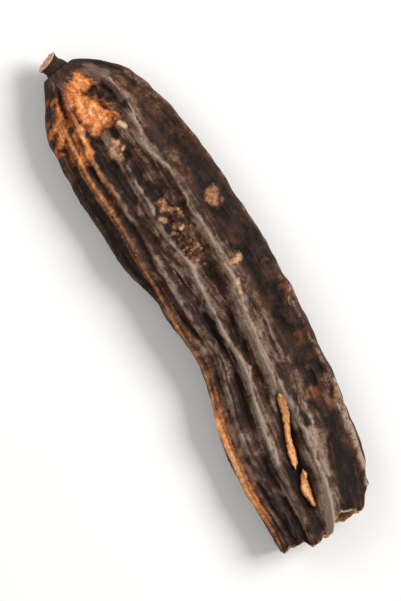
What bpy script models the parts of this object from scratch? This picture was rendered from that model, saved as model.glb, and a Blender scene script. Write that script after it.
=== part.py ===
"""A dried carob pod, broken across, lying on its broad side.

The pod is one body: a flat, bowed tube with a ribbed belly seam, wavy folds along both faces, a split in the
upper face and a torn end that opens into the last seed chamber. The stub of its stalk sits in the blunt end.
+X runs from the stalk to the break, +Y from the belly seam to the back seam, and +Z up from the surface.
The origin is on the surface, under the middle of the pod's box.
"""

import math

import bmesh
import bpy
import numpy as np
from mathutils import Vector, noise

MM = 0.001

# The middle line, seen from above: an arc that starts at the stalk end. All sizes are in millimetres.
POD_LENGTH = 80.7
STALK_END_X = -39.7
BOW_RADIUS = 240.0
BOW_TOP_X = -4.0
BOW_TOP_Y = 1.75
TIP_SHIFT = 1.7
TIP_SHIFT_REACH = 3.0
# Seen from the side it is lowest at two places, a third of its length to each side of its middle.
LOW_HEIGHT = 4.02
ARCH_HEIGHT = 1.0
ARCH_SPACING = 0.66
TWIST = math.radians(5.0)

# The pod's section, which grows from the tip at the stalk over the shoulder.
HALF_BREADTH = 9.2
HALF_THICKNESS = 3.6
TIP_HALF_BREADTH = 2.7
TIP_HALF_THICKNESS = 2.5
BREADTH_REACH = 8.0
BREADTH_POWER = 0.82
THICKNESS_REACH = 7.0
THICKNESS_POWER = 0.8
THICKNESS_CHANGE = 0.16
THICKNESS_CHANGE_LENGTH = 23.0
SECTION_SQUARENESS = 2.6
BACK_SLOPE = 0.40
BACK_SLOPE_REACH = 12.0
BREAK_NARROWING = 0.18
BREAK_TAPER_FROM = 56.0
# How far the belly edge is drawn in from a plain one, as (place along, mm). Below zero it bulges out.
BELLY_EDGE = [(0, 0.2), (3, -0.9), (6, -2.4), (11, -2.3), (22, -2.2), (30, -2.3), (34, -1.3), (38, -0.1),
              (43, 0.0), (49, 1.1), (55, -0.1), (61, -1.2), (67, -1.7), (73, -1.6), (79, -0.7)]
BELLY_EDGE_FROM = 0.3
BELLY_EDGE_TO = -1.0

# How the mesh is divided: around the pod, and along it from the stalk's socket to the chamber's floor.
SIDES = 92
SOCKET_ROWS = 4
BODY_ROWS = 46
BREAK_ROWS = 5
CHAMBER_ROWS = 4
FLOOR_ROWS = 3
FINE_START = 0.12

# The belly seam, as (place along in mm, turn): a groove between two ribs, on the upper face at the stalk. Further
# along the outer rib lies on the pod's edge.
SEAM_GROOVE = [(0, 0.362), (7, 0.363), (11, 0.375), (14, 0.382), (20, 0.379), (28, 0.370), (32, 0.380),
               (36, 0.402), (40, 0.411), (50, 0.415), (60, 0.411), (72, 0.406), (81, 0.408)]
OUTER_RIB = [(0, 0.384), (8, 0.385), (13, 0.397), (17, 0.400), (22, 0.394), (28, 0.393), (31, 0.402),
             (34, 0.423), (38, 0.447), (42, 0.454), (60, 0.455), (81, 0.458)]
INNER_RIB = [(0, 0.340), (8, 0.338), (11, 0.349), (14, 0.363), (18, 0.362), (22, 0.358), (28, 0.351),
             (32, 0.360), (36, 0.384), (40, 0.393), (50, 0.391), (60, 0.388), (81, 0.386)]
SEAM_RIB_HEIGHT = 0.50
SEAM_RIB_WIDTH = 0.62
SEAM_GROOVE_DEPTH = 0.40
SEAM_GROOVE_WIDTH = 0.50
# The back seam: one low rib along the other edge.
BACK_SEAM = [(0, 0.03), (30, 0.02), (55, 0.045), (81, 0.035)]
BACK_RIB_HEIGHT = 0.4
BACK_RIB_WIDTH = 0.8

# Folds along the faces: height, width, and points of (place along in mm, place across from -1 to 1).
UPPER_FOLDS = [
    (0.85, 0.85, [(16, -0.17), (20, -0.20), (26, -0.22), (31, -0.28), (35, -0.21), (38, -0.25), (41.3, -0.34),
                  (44, -0.29), (47.3, -0.38), (50, -0.35), (53.5, -0.20), (57, -0.33), (60.5, -0.30),
                  (63, -0.37), (68.5, -0.34), (72, -0.36)]),
    (1.10, 1.55, [(4, 0.52), (7, 0.56), (9, 0.50), (11, 0.44), (13, 0.33), (15, 0.24), (17, 0.20), (20, 0.28),
                  (25, 0.31), (31, 0.31), (35, 0.27), (39, 0.29), (44, 0.18), (49, 0.12), (59, 0.12),
                  (63, 0.24), (69, 0.22), (72, 0.19), (76.5, 0.21), (79, 0.15), (81, 0.07)]),
    (-0.95, 0.80, [(37, 0.0), (41, -0.02), (44, -0.05), (48, -0.12), (51, -0.13), (55, -0.09), (60, -0.10)]),
    (-0.70, 0.80, [(37, -0.43), (48, -0.46), (53, -0.42), (57, -0.47), (63, -0.42), (69, -0.48), (77, -0.5)]),
    (-0.45, 1.30, [(16, 0.60), (32, 0.62), (48, 0.56), (62, 0.66), (76, 0.60)]),
    (0.35, 0.80, [(22, -0.52), (30, -0.58), (44, -0.64), (56, -0.66), (70, -0.66)]),
]
LOWER_FOLDS = [
    (0.55, 1.10, [(10, -0.30), (22, -0.40), (36, -0.28), (48, -0.40), (60, -0.30), (76, -0.42)]),
    (0.60, 1.20, [(8, 0.30), (20, 0.44), (34, 0.34), (46, 0.46), (62, 0.36), (77, 0.44)]),
    (-0.60, 1.00, [(12, 0.02), (26, 0.06), (40, -0.04), (54, 0.06), (72, 0.0)]),
    (-0.40, 0.80, [(18, -0.66), (36, -0.62), (54, -0.70), (74, -0.66)]),
    (-0.45, 0.90, [(14, 0.70), (34, 0.66), (50, 0.72), (70, 0.68)]),
]
FOLD_FADE = 4.0
PATH_ROUNDING = 2.2

# The split in the upper face, with a strand of pulp standing in it.
SPLIT = [(58.0, 0.07), (61.5, 0.055), (64, -0.02), (66, -0.07), (70, -0.12), (74, -0.13), (78, -0.16)]
SPLIT_WIDTH = 1.15
SPLIT_DEPTH = 1.5
SPLIT_END_LENGTH = 3.0
STRAND_WIDTH = 0.5
STRAND_HEIGHT = 0.9

# Low swellings over the seed chambers, and the fine waves of the dried skin.
SEED_SPACING = 9.4
SEED_FIRST = 14.0
SEED_LAST = 72.0
SEED_SWELLING = 0.30
SEED_HALF_LENGTH = 3.2
SEED_HALF_BREADTH = 0.5
WAVE_HEIGHT = 0.42
WAVE_LENGTH = 7.0
WAVE_BREADTH = 1.9
# The relief grows from nothing over this length from the stalk's socket.
RELIEF_START = 6.0

# The torn end slants to the belly seam, with a tongue of skin, a step beside it and the last seed chamber.
TEAR_SLANT = 0.17
TONGUE_LENGTH = 1.9
TONGUE_Y = -1.7
TONGUE_HALF_WIDTH = 2.4
TONGUE_EDGE = 0.7
TONGUE_LOW = 0.8
TONGUE_HIGH = 1.9
STEP_DEPTH = 1.1
STEP_Y = 2.2
STEP_HALF_WIDTH = 1.3
CORNER_DEPTH = 2.6
CORNER_FROM = 5.4
CORNER_TO = 8.0
TEAR_ROUGHNESS = 0.65
TEAR_GRAIN = 1.9
TEAR_FINE_GRAIN = 0.9
TEAR_BLEND = 8.0
CHAMBER_HALF_BREADTH = 4.0
CHAMBER_HALF_HEIGHT = 1.5
CHAMBER_DEPTH = 6.5
CHAMBER_FLOOR_DEPTH = 1.2
CHAMBER_NARROWING = 0.12
CHAMBER_Y = 0.6

# Three lowered places under the pod, as (x, y, half length, half breadth). Cut at the surface, they give the
# four small flat spots that it rests on.
REST_SPOTS = [(-25.5, 1.1, 3.4, 2.4), (27.5, -6.5, 3.0, 2.0), (24.5, 4.9, 3.0, 2.0)]
REST_SPOT_DROP = 0.7
REST_SPOT_TOP = 1.8

# The stalk's socket in the blunt end, and the stalk, which leans up and towards the belly seam.
SOCKET_RADIUS = 2.3
SOCKET_DEPTH = 2.1
STALK_DIRECTION = (-0.895, -0.369, 0.25)
STALK_SIDES = 28
STALK_ROWS = 18
# The stalk's outline, from its root in the socket to its broken end, as (place along it, radius).
STALK_PROFILE = [(-1.72, 0.0), (-1.62, 0.7), (-1.1, 1.45), (-0.3, 1.85), (0.5, 1.78), (1.2, 1.52), (1.8, 1.62),
                 (2.15, 1.84), (2.3, 1.78), (2.28, 1.3), (2.1, 0.7), (2.05, 0.0)]
STALK_GRAIN = 0.07
STALK_GRAIN_SIZE = 2.2
STALK_END_FROM = 1.9
STALK_END_ROUGHNESS = 0.18

TABLE_STEPS = 2000


def clear_scene():
    for obj in list(bpy.data.objects):
        bpy.data.objects.remove(obj, do_unlink=True)


def make_material(name, colour, roughness):
    material = bpy.data.materials.new(name)
    material.use_nodes = True
    shader = material.node_tree.nodes["Principled BSDF"]
    shader.inputs["Base Color"].default_value = (*colour, 1.0)
    shader.inputs["Roughness"].default_value = roughness
    shader.inputs["Metallic"].default_value = 0.0
    return material


def smooth_step(low, high, value):
    share = np.clip((value - low) / (high - low), 0.0, 1.0)
    return share * share * (3.0 - 2.0 * share)


def along_path(points, place):
    """The value of a path of (place, value) points, with its corners rounded off."""
    places, values = np.array(points, float).T
    offsets = np.linspace(-PATH_ROUNDING, PATH_ROUNDING, 9)
    return np.mean([np.interp(place + offset, places, values) for offset in offsets], axis=0)


def rough(x, y, z=0.0):
    """Blender's smooth noise at each point, from -1 to 1."""
    x, y, z = np.broadcast_arrays(x, y, z)
    flat = [noise.noise(Vector(p)) for p in zip(x.ravel(), y.ravel(), z.ravel())]
    return np.array(flat).reshape(x.shape)


def section_table():
    """The unit section as (turn, across, up), with turn the share of the way round from the back edge."""
    angle = np.linspace(0.0, 2.0 * math.pi, TABLE_STEPS + 1)
    power = 2.0 / SECTION_SQUARENESS
    across = np.sign(np.cos(angle)) * np.abs(np.cos(angle)) ** power
    up = np.sign(np.sin(angle)) * np.abs(np.sin(angle)) ** power
    steps = np.hypot(np.diff(across) * HALF_BREADTH, np.diff(up) * HALF_THICKNESS)
    way = np.concatenate([[0.0], np.cumsum(steps)])
    return way / way[-1], across, up, way[-1]


TURN, ACROSS, UP, GIRTH = section_table()


def turn_at(across, upper):
    """The turn of a place across the upper or the lower face."""
    half = len(TURN) // 2 + 1
    if upper:
        return np.interp(-np.asarray(across), -ACROSS[:half], TURN[:half])
    return np.interp(across, ACROSS[half - 1:], TURN[half - 1:])


def bump(turn, path_turn, width):
    """A rounded ridge of height 1 that runs along a path, with its width in mm."""
    gap = turn - path_turn
    gap = (gap - np.round(gap)) * GIRTH
    return np.exp(-((gap / width) ** 2))


def fold_height(folds, upper, turn, along):
    total = np.zeros_like(turn)
    for height, width, points in folds:
        start, end = points[0][0], points[-1][0]
        path_turn = turn_at(along_path(points, along), upper)
        shown = smooth_step(start - FOLD_FADE, start + FOLD_FADE, along)
        if end < POD_LENGTH - FOLD_FADE:
            shown = shown * (1.0 - smooth_step(end - FOLD_FADE, end + FOLD_FADE, along))
        total += height * shown * bump(turn, path_turn, width)
    return total


def seam_height(turn, along):
    """The belly seam's two ribs and groove, and the back seam's rib."""
    ribs = bump(turn, along_path(OUTER_RIB, along), SEAM_RIB_WIDTH)
    ribs = ribs + bump(turn, along_path(INNER_RIB, along), SEAM_RIB_WIDTH)
    groove = bump(turn, along_path(SEAM_GROOVE, along), SEAM_GROOVE_WIDTH)
    back_rib = bump(turn, along_path(BACK_SEAM, along), BACK_RIB_WIDTH)
    return SEAM_RIB_HEIGHT * ribs - SEAM_GROOVE_DEPTH * groove + BACK_RIB_HEIGHT * back_rib


def split_height(turn, along):
    """The split's dark groove and the strand that stands in it."""
    path_turn = turn_at(along_path(SPLIT, along), True)
    start, end = SPLIT[0][0], SPLIT[-1][0]
    shown = smooth_step(start, start + SPLIT_END_LENGTH, along)
    shown = shown * (1.0 - smooth_step(end - SPLIT_END_LENGTH, end, along))
    strand = STRAND_HEIGHT * bump(turn, path_turn, STRAND_WIDTH)
    return shown * (strand - SPLIT_DEPTH * bump(turn, path_turn, SPLIT_WIDTH))


def seed_height(across, along):
    """A low swelling over each seed chamber."""
    last = (SEED_LAST - SEED_FIRST) // SEED_SPACING
    centre = SEED_FIRST + SEED_SPACING * np.clip(np.round((along - SEED_FIRST) / SEED_SPACING), 0, last)
    distance = ((along - centre) / SEED_HALF_LENGTH) ** 2 + (across / SEED_HALF_BREADTH) ** 2
    return SEED_SWELLING * np.exp(-distance)


def wave_height(turn, along):
    """Irregular creases that run along the pod, the same on every run."""
    angle = turn * 2.0 * math.pi
    reach = GIRTH / (2.0 * math.pi * WAVE_BREADTH)
    return WAVE_HEIGHT * rough(along / WAVE_LENGTH, reach * np.cos(angle), reach * np.sin(angle))


def half_breadth(along):
    grown = (1.0 - np.exp(-along / BREADTH_REACH)) ** BREADTH_POWER
    narrowed = np.clip((along - BREAK_TAPER_FROM) / (POD_LENGTH - BREAK_TAPER_FROM), 0.0, 1.5) ** 2
    return (TIP_HALF_BREADTH + (HALF_BREADTH - TIP_HALF_BREADTH) * grown) * (1.0 - BREAK_NARROWING * narrowed)


def half_thickness(along):
    grown = (1.0 - np.exp(-along / THICKNESS_REACH)) ** THICKNESS_POWER
    uneven = 1.0 + THICKNESS_CHANGE * rough(along / THICKNESS_CHANGE_LENGTH, 3.1)
    return (TIP_HALF_THICKNESS + (HALF_THICKNESS - TIP_HALF_THICKNESS) * grown) * uneven


def middle_line(along):
    """The middle line's x, y, z and its heading in plan."""
    start = math.asin((STALK_END_X - BOW_TOP_X) / BOW_RADIUS)
    angle = start + along / BOW_RADIUS
    x = BOW_TOP_X + BOW_RADIUS * np.sin(angle)
    y = BOW_TOP_Y - BOW_RADIUS * (1.0 - np.cos(angle)) - TIP_SHIFT * np.exp(-along / TIP_SHIFT_REACH)
    phase = 2.0 * math.pi * (along / POD_LENGTH - 0.5) / ARCH_SPACING
    z = LOW_HEIGHT + ARCH_HEIGHT * (1.0 + np.cos(phase)) / 2.0
    return x, y, z, -angle


def tear(side, up):
    """How far the torn end reaches past its mean line, at a place in the section."""
    inner, outer = TONGUE_HALF_WIDTH - TONGUE_EDGE, TONGUE_HALF_WIDTH + TONGUE_EDGE
    tongue = TONGUE_LENGTH * smooth_step(outer, inner, np.abs(side - TONGUE_Y))
    tongue = tongue * smooth_step(TONGUE_LOW, TONGUE_HIGH, up)
    step = STEP_DEPTH * np.exp(-((side - STEP_Y) / STEP_HALF_WIDTH) ** 2) * smooth_step(-1.0, 1.0, up)
    torn = rough(side / TEAR_GRAIN, up / TEAR_GRAIN, 7.3)
    torn = torn + 0.5 * rough(side / TEAR_FINE_GRAIN, up / TEAR_FINE_GRAIN, 2.1)
    corner = CORNER_DEPTH * smooth_step(CORNER_FROM, CORNER_TO, side)
    return tongue - step - corner - TEAR_SLANT * side + TEAR_ROUGHNESS * torn


def skin_offset(turn, across, up, along):
    """Where the skin stands at a place on the pod, as (side, up) in the section's plane, in mm."""
    thickness = half_thickness(along)
    slope = 1.0 - BACK_SLOPE * smooth_step(0.15, 1.0, across) * smooth_step(0.0, BACK_SLOPE_REACH, along)
    scale_up = thickness * np.where(up > 0.0, slope, 0.5 + 0.5 * slope)
    breadth = half_breadth(along)
    normal_side = np.sign(across) * np.abs(across) ** (SECTION_SQUARENESS - 1.0) / breadth
    normal_up = np.sign(up) * np.abs(up) ** (SECTION_SQUARENESS - 1.0) / scale_up
    length = np.hypot(normal_side, normal_up) + 1e-9
    relief = fold_height(UPPER_FOLDS, True, turn, along) + fold_height(LOWER_FOLDS, False, turn, along)
    relief = relief + seam_height(turn, along) + split_height(turn, along)
    relief = relief + seed_height(across, along) + wave_height(turn, along)
    relief = relief * smooth_step(0.0, RELIEF_START, along)
    side = across * breadth + relief * normal_side / length
    side = side + along_path(BELLY_EDGE, along) * smooth_step(BELLY_EDGE_FROM, BELLY_EDGE_TO, across)
    return side, up * scale_up + relief * normal_up / length


def to_part(along, side, up):
    """A place in a section's plane, brought into the part's frame, in mm."""
    x, y, z, heading = middle_line(along)
    twist = TWIST * (along / POD_LENGTH - 0.5)
    side, up = side * np.cos(twist) - up * np.sin(twist), side * np.sin(twist) + up * np.cos(twist)
    return np.stack([x - side * np.sin(heading), y + side * np.cos(heading), z + up], axis=-1)


def rest_on_surface(points):
    """Lowers the underside a little at the rest spots and cuts it flat at the surface."""
    x, y, z = points.T
    for spot_x, spot_y, half_long, half_broad in REST_SPOTS:
        near = np.exp(-(((x - spot_x) / half_long) ** 2 + ((y - spot_y) / half_broad) ** 2))
        z = z - REST_SPOT_DROP * near * (z < REST_SPOT_TOP)
    return np.stack([x, y, np.maximum(z, 0.0)], axis=-1)


def pod_points(row, turn):
    """The pod's surface in mm, for a row counted from the socket's bottom and a turn round the pod."""
    across = np.interp(turn, TURN, ACROSS)
    up = np.interp(turn, TURN, UP)
    angle = turn * 2.0 * math.pi
    body_start, break_start = SOCKET_ROWS, SOCKET_ROWS + BODY_ROWS
    chamber_start, floor_start = break_start + BREAK_ROWS, break_start + BREAK_ROWS + CHAMBER_ROWS

    share = np.clip((row - body_start) / BODY_ROWS, 0.0, 1.0)
    eased = (np.hypot(share, FINE_START) - FINE_START) / (math.hypot(1.0, FINE_START) - FINE_START)
    along = POD_LENGTH * eased
    side, height = skin_offset(turn, across, up, along)
    along = along + tear(side, height) * smooth_step(POD_LENGTH - TEAR_BLEND, POD_LENGTH, along)

    # The torn face runs in from the skin to the chamber's mouth.
    inward = np.clip((row - break_start) / BREAK_ROWS, 0.0, 1.0)
    chamber_side = CHAMBER_Y + CHAMBER_HALF_BREADTH * np.cos(angle)
    chamber_up = CHAMBER_HALF_HEIGHT * np.sin(angle)
    face_side = side + (chamber_side - side) * inward
    face_up = height + (chamber_up - height) * inward
    face_along = POD_LENGTH + tear(face_side, face_up)

    # The chamber's wall goes back into the pod, and its floor closes on the middle.
    deep = np.clip((row - chamber_start) / CHAMBER_ROWS, 0.0, 1.0)
    closing = 1.0 - np.clip((row - floor_start) / FLOOR_ROWS, 0.0, 1.0)
    face_along = face_along - CHAMBER_DEPTH * deep
    face_along = face_along - CHAMBER_FLOOR_DEPTH * np.sqrt(np.clip(1.0 - closing**2, 0.0, 1.0))
    closing = closing * (1.0 - CHAMBER_NARROWING * deep)
    face_side = np.where(row > chamber_start, CHAMBER_Y + (face_side - CHAMBER_Y) * closing, face_side)
    face_up = np.where(row > chamber_start, face_up * closing, face_up)

    torn = row > break_start
    along = np.where(torn, face_along, along)
    points = to_part(along, np.where(torn, face_side, side), np.where(torn, face_up, height))

    # The stalk's socket is a bowl in the blunt end.
    bowl = np.clip(row / SOCKET_ROWS, 0.0, 1.0) * math.pi / 2.0
    out = SOCKET_RADIUS * np.sin(bowl)
    socket = to_part(0.0, out * np.cos(angle), out * np.sin(angle))
    socket = socket + np.stack([SOCKET_DEPTH * np.cos(bowl), 0.0 * bowl, 0.0 * bowl], axis=-1)
    points = np.where((row < body_start)[:, None], socket, points)
    return rest_on_surface(points)


def sphere_rows(mesh, sides, rows):
    """For each vertex of a unit sphere, its row from the top pole and its share of a turn."""
    co = np.array([vertex.co for vertex in mesh.verts])
    row = np.arccos(np.clip(co[:, 2], -1.0, 1.0)) / math.pi * rows
    turn = np.round(np.arctan2(co[:, 1], co[:, 0]) / (2.0 * math.pi) * sides) / sides % 1.0
    return np.round(row), turn


def new_object(name, mesh, material, collection):
    mesh.normal_update()
    bmesh.ops.recalc_face_normals(mesh, faces=mesh.faces)
    data = bpy.data.meshes.new(name)
    mesh.to_mesh(data)
    mesh.free()
    data.materials.append(material)
    data.shade_smooth()
    obj = bpy.data.objects.new(name, data)
    collection.objects.link(obj)
    return obj


def make_pod(collection, material):
    rows = SOCKET_ROWS + BODY_ROWS + BREAK_ROWS + CHAMBER_ROWS + FLOOR_ROWS
    mesh = bmesh.new()
    bmesh.ops.create_uvsphere(mesh, u_segments=SIDES, v_segments=rows, radius=1.0)
    row, turn = sphere_rows(mesh, SIDES, rows)
    for vertex, point in zip(mesh.verts, pod_points(row, turn)):
        vertex.co = Vector(point) * MM
    return new_object("pod", mesh, material, collection)


def make_stalk(collection, material):
    mesh = bmesh.new()
    bmesh.ops.create_uvsphere(mesh, u_segments=STALK_SIDES, v_segments=STALK_ROWS, radius=1.0)
    row, turn = sphere_rows(mesh, STALK_SIDES, STALK_ROWS)
    steps = np.linspace(0.0, STALK_ROWS, len(STALK_PROFILE))
    place, radius = np.array(STALK_PROFILE).T
    out = np.interp(row, steps, place)
    wide = np.interp(row, steps, radius)
    angle = turn * 2.0 * math.pi
    grain = rough(STALK_GRAIN_SIZE * np.cos(angle), STALK_GRAIN_SIZE * np.sin(angle), out * 0.4)
    wide = wide * (1.0 + STALK_GRAIN * grain)
    torn = rough(wide * np.cos(angle) * 1.3, wide * np.sin(angle) * 1.3, 4.0)
    out = out + STALK_END_ROUGHNESS * (out > STALK_END_FROM) * torn
    for vertex, w, r, a in zip(mesh.verts, out, wide, angle):
        vertex.co = Vector((r * math.cos(a), r * math.sin(a), w)) * MM
    stalk = new_object("stalk", mesh, material, collection)
    x, y, z, heading = middle_line(0.0)
    stalk.location = Vector((x, y, z)) * MM
    stalk.rotation_euler = Vector(STALK_DIRECTION).to_track_quat("Z", "Y").to_euler()


def main():
    clear_scene()
    collection = bpy.data.collections.new("carob_pod")
    bpy.context.scene.collection.children.link(collection)
    skin = make_material("dried_skin", (0.045, 0.026, 0.019), 0.55)
    wood = make_material("stalk_wood", (0.30, 0.17, 0.10), 0.7)
    make_pod(collection, skin)
    make_stalk(collection, wood)


main()
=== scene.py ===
"""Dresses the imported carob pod: a fine skin with its folds, creases and torn end, and the stub of its stalk."""

import math

import bmesh
import bpy
import numpy as np
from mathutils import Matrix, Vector, noise


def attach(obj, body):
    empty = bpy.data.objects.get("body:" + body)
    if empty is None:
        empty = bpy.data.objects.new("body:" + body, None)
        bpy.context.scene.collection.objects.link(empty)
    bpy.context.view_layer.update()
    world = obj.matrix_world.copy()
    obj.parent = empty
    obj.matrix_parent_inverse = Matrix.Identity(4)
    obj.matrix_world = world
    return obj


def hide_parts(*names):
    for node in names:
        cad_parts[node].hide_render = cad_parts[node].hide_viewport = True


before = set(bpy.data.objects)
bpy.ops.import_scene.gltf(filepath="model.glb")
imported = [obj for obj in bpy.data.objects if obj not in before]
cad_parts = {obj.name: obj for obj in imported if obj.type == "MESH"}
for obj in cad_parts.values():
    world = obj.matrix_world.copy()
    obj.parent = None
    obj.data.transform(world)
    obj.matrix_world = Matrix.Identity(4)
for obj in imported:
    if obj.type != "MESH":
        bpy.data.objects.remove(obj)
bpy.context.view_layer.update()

bl_info = {
    "name": "Carob Pod",
    "version": (1, 0, 0),
    "blender": (4, 5, 0),
    "location": "View3D > Sidebar > Carob Pod",
    "description": "Builds a dried, broken carob pod with its stalk stub, a floor, lights and a camera",
    "category": "Add Mesh",
}

MM = 0.001

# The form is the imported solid's, with its folds drawn sharper.
# The middle line, seen from above: an arc that starts at the stalk end. All sizes are in millimetres.
POD_LENGTH = 80.7
STALK_END_X = -39.7
BOW_RADIUS = 240.0
BOW_TOP_X = -4.0
BOW_TOP_Y = 1.75
TIP_SHIFT = 1.7
TIP_SHIFT_REACH = 3.0
# Seen from the side it is lowest at two places, a third of its length to each side of its middle.
LOW_HEIGHT = 4.02
ARCH_HEIGHT = 1.0
ARCH_SPACING = 0.66
TWIST = math.radians(5.0)

# The pod's section, which grows from the tip at the stalk over the shoulder.
HALF_BREADTH = 9.2
HALF_THICKNESS = 3.6
TIP_HALF_BREADTH = 2.7
TIP_HALF_THICKNESS = 2.5
BREADTH_REACH = 8.0
BREADTH_POWER = 0.82
THICKNESS_REACH = 7.0
THICKNESS_POWER = 0.8
THICKNESS_CHANGE = 0.16
THICKNESS_CHANGE_LENGTH = 23.0
THICKNESS_SEED = 3.1
SECTION_SQUARENESS = 2.6
# The upper face slopes down to the back seam, from this place across.
BACK_SLOPE = 0.40
BACK_SLOPE_FROM = 0.15
BACK_SLOPE_REACH = 12.0
BREAK_NARROWING = 0.18
BREAK_TAPER_FROM = 56.0
# How far the belly edge is drawn in from a plain one, as (place along, mm). Below zero it bulges out.
BELLY_EDGE = [
    (0, 0.2), (3, -0.9), (6, -2.4), (11, -2.3), (22, -2.2), (30, -2.3), (34, -1.3), (38, -0.1), (43, 0),
    (49, 1.1), (55, -0.1), (61, -1.2), (67, -1.7), (73, -1.6), (79, -0.7),
]
BELLY_EDGE_FROM = 0.3
BELLY_EDGE_TO = -1.0

# The rows lie closer together at the stalk's end.
FINE_START = 0.12

# The belly seam, as (place along in mm, turn): a groove between two ribs, on the upper face at the stalk. Further
# along the outer rib lies on the pod's edge.
SEAM_GROOVE = [
    (0, 0.362), (7, 0.363), (11, 0.375), (14, 0.382), (20, 0.379), (28, 0.37), (32, 0.38), (36, 0.402),
    (40, 0.411), (50, 0.415), (60, 0.411), (72, 0.406), (81, 0.408),
]
OUTER_RIB = [
    (0, 0.384), (8, 0.385), (13, 0.397), (17, 0.4), (22, 0.394), (28, 0.393), (31, 0.402), (34, 0.423),
    (38, 0.447), (42, 0.454), (60, 0.455), (81, 0.458),
]
INNER_RIB = [
    (0, 0.34), (8, 0.338), (11, 0.349), (14, 0.363), (18, 0.362), (22, 0.358), (28, 0.351), (32, 0.36),
    (36, 0.384), (40, 0.393), (50, 0.391), (60, 0.388), (81, 0.386),
]
SEAM_RIB_HEIGHT = 0.50
SEAM_RIB_WIDTH = 0.62
SEAM_GROOVE_DEPTH = 0.40
SEAM_GROOVE_WIDTH = 0.50
# The back seam: one low rib along the other edge.
BACK_SEAM = [(0, 0.03), (30, 0.02), (55, 0.045), (81, 0.035)]
BACK_RIB_HEIGHT = 0.4
BACK_RIB_WIDTH = 0.8

# Folds along the faces: height, width on the belly's side, width on the back's side, how flat the crest is, and
# points of (place along in mm, place across from -1 to 1).
UPPER_FOLDS = [
    (0.95, 0.65, 0.9, 1.2,
     [(16, -0.17), (20, -0.2), (26, -0.22), (31, -0.28), (35, -0.21), (38, -0.25), (41.3, -0.34), (44, -0.29),
      (47.3, -0.38), (50, -0.35), (53.5, -0.2), (57, -0.33), (60.5, -0.3), (63, -0.37), (68.5, -0.34),
      (72, -0.36)]),
    (1.15, 1, 2, 1.8,
     [(4, 0.52), (7, 0.56), (9, 0.5), (11, 0.44), (13, 0.33), (15, 0.24), (17, 0.2), (20, 0.28), (25, 0.31),
      (31, 0.31), (35, 0.27), (39, 0.29), (44, 0.18), (49, 0.12), (59, 0.12), (63, 0.24), (69, 0.22),
      (72, 0.19), (76.5, 0.21), (79, 0.15), (81, 0.07)]),
    (-0.95, 0.8, 0.8, 1.8,
     [(37, 0), (41, -0.02), (44, -0.05), (48, -0.12), (51, -0.13), (55, -0.09), (60, -0.1)]),
    (-0.7, 0.8, 0.8, 1.8,
     [(37, -0.43), (48, -0.46), (53, -0.42), (57, -0.47), (63, -0.42), (69, -0.48), (77, -0.5)]),
    (-0.45, 1.3, 1.3, 2, [(16, 0.6), (32, 0.62), (48, 0.56), (62, 0.66), (76, 0.6)]),
    (0.35, 0.6, 0.8, 1.3, [(22, -0.52), (30, -0.58), (44, -0.64), (56, -0.66), (70, -0.66)]),
    (0.22, 0.35, 0.35, 1.2, [(29, -0.34), (32, -0.39), (36.5, -0.43), (39, -0.45)]),
]
LOWER_FOLDS = [
    (0.55, 0.9, 1.2, 1.5, [(10, -0.3), (22, -0.4), (36, -0.28), (48, -0.4), (60, -0.3), (76, -0.42)]),
    (0.6, 1.1, 1.3, 1.5, [(8, 0.3), (20, 0.44), (34, 0.34), (46, 0.46), (62, 0.36), (77, 0.44)]),
    (-0.6, 1, 1, 1.8, [(12, 0.02), (26, 0.06), (40, -0.04), (54, 0.06), (72, 0)]),
    (-0.4, 0.8, 0.8, 1.8, [(18, -0.66), (36, -0.62), (54, -0.7), (74, -0.66)]),
    (-0.45, 0.9, 0.9, 1.8, [(14, 0.7), (34, 0.66), (50, 0.72), (70, 0.68)]),
]
FOLD_FADE = 4.0
PATH_ROUNDING = 2.2

# The split in the upper face, as (place along in mm, place across), and its half widths, as (place along, mm). Two
# strands of pulp stand in it.
SPLIT = [(58, 0.07), (61.5, 0.055), (64, -0.02), (66, -0.07), (70, -0.12), (74, -0.13), (78, -0.16)]
SPLIT_DEPTH = 1.5
SPLIT_END_LENGTH = 3.0
SPLIT_WIDTHS = [(58, 0.5), (61, 0.75), (63, 0.9), (66, 1.1), (70, 1.25), (73, 1.35), (76, 1), (78, 0.6)]
# The strands, as (place along in mm, turn, half width in mm).
STRANDS = [
    [(59.2, 0.2355, 0.05), (59.6, 0.2355, 0.5), (61, 0.237, 0.64), (62.5, 0.2425, 0.66), (64, 0.252, 0.54),
     (65.5, 0.262, 0.48), (67, 0.269, 0.5), (68.5, 0.2728, 0.58), (69.8, 0.276, 0.52), (70.7, 0.2815, 0.05)],
    [(71.2, 0.26, 0.05), (71.9, 0.263, 0.48), (73, 0.272, 0.62), (74, 0.2785, 0.78), (74.8, 0.2785, 0.7),
     (75.6, 0.276, 0.48), (76.3, 0.273, 0.28), (76.6, 0.274, 0.05)],
]
STRAND_HEIGHT = 1.15

# Low swellings over the seed chambers, and the fine waves of the dried skin.
SEED_SPACING = 9.4
SEED_FIRST = 14.0
SEED_LAST = 72.0
SEED_SWELLING = 0.30
SEED_HALF_LENGTH = 3.2
SEED_HALF_BREADTH = 0.5
WAVE_HEIGHT = 0.42
WAVE_LENGTH = 7.0
WAVE_BREADTH = 1.9
# The relief grows from nothing over this length from the stalk's socket.
RELIEF_START = 6.0

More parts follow.
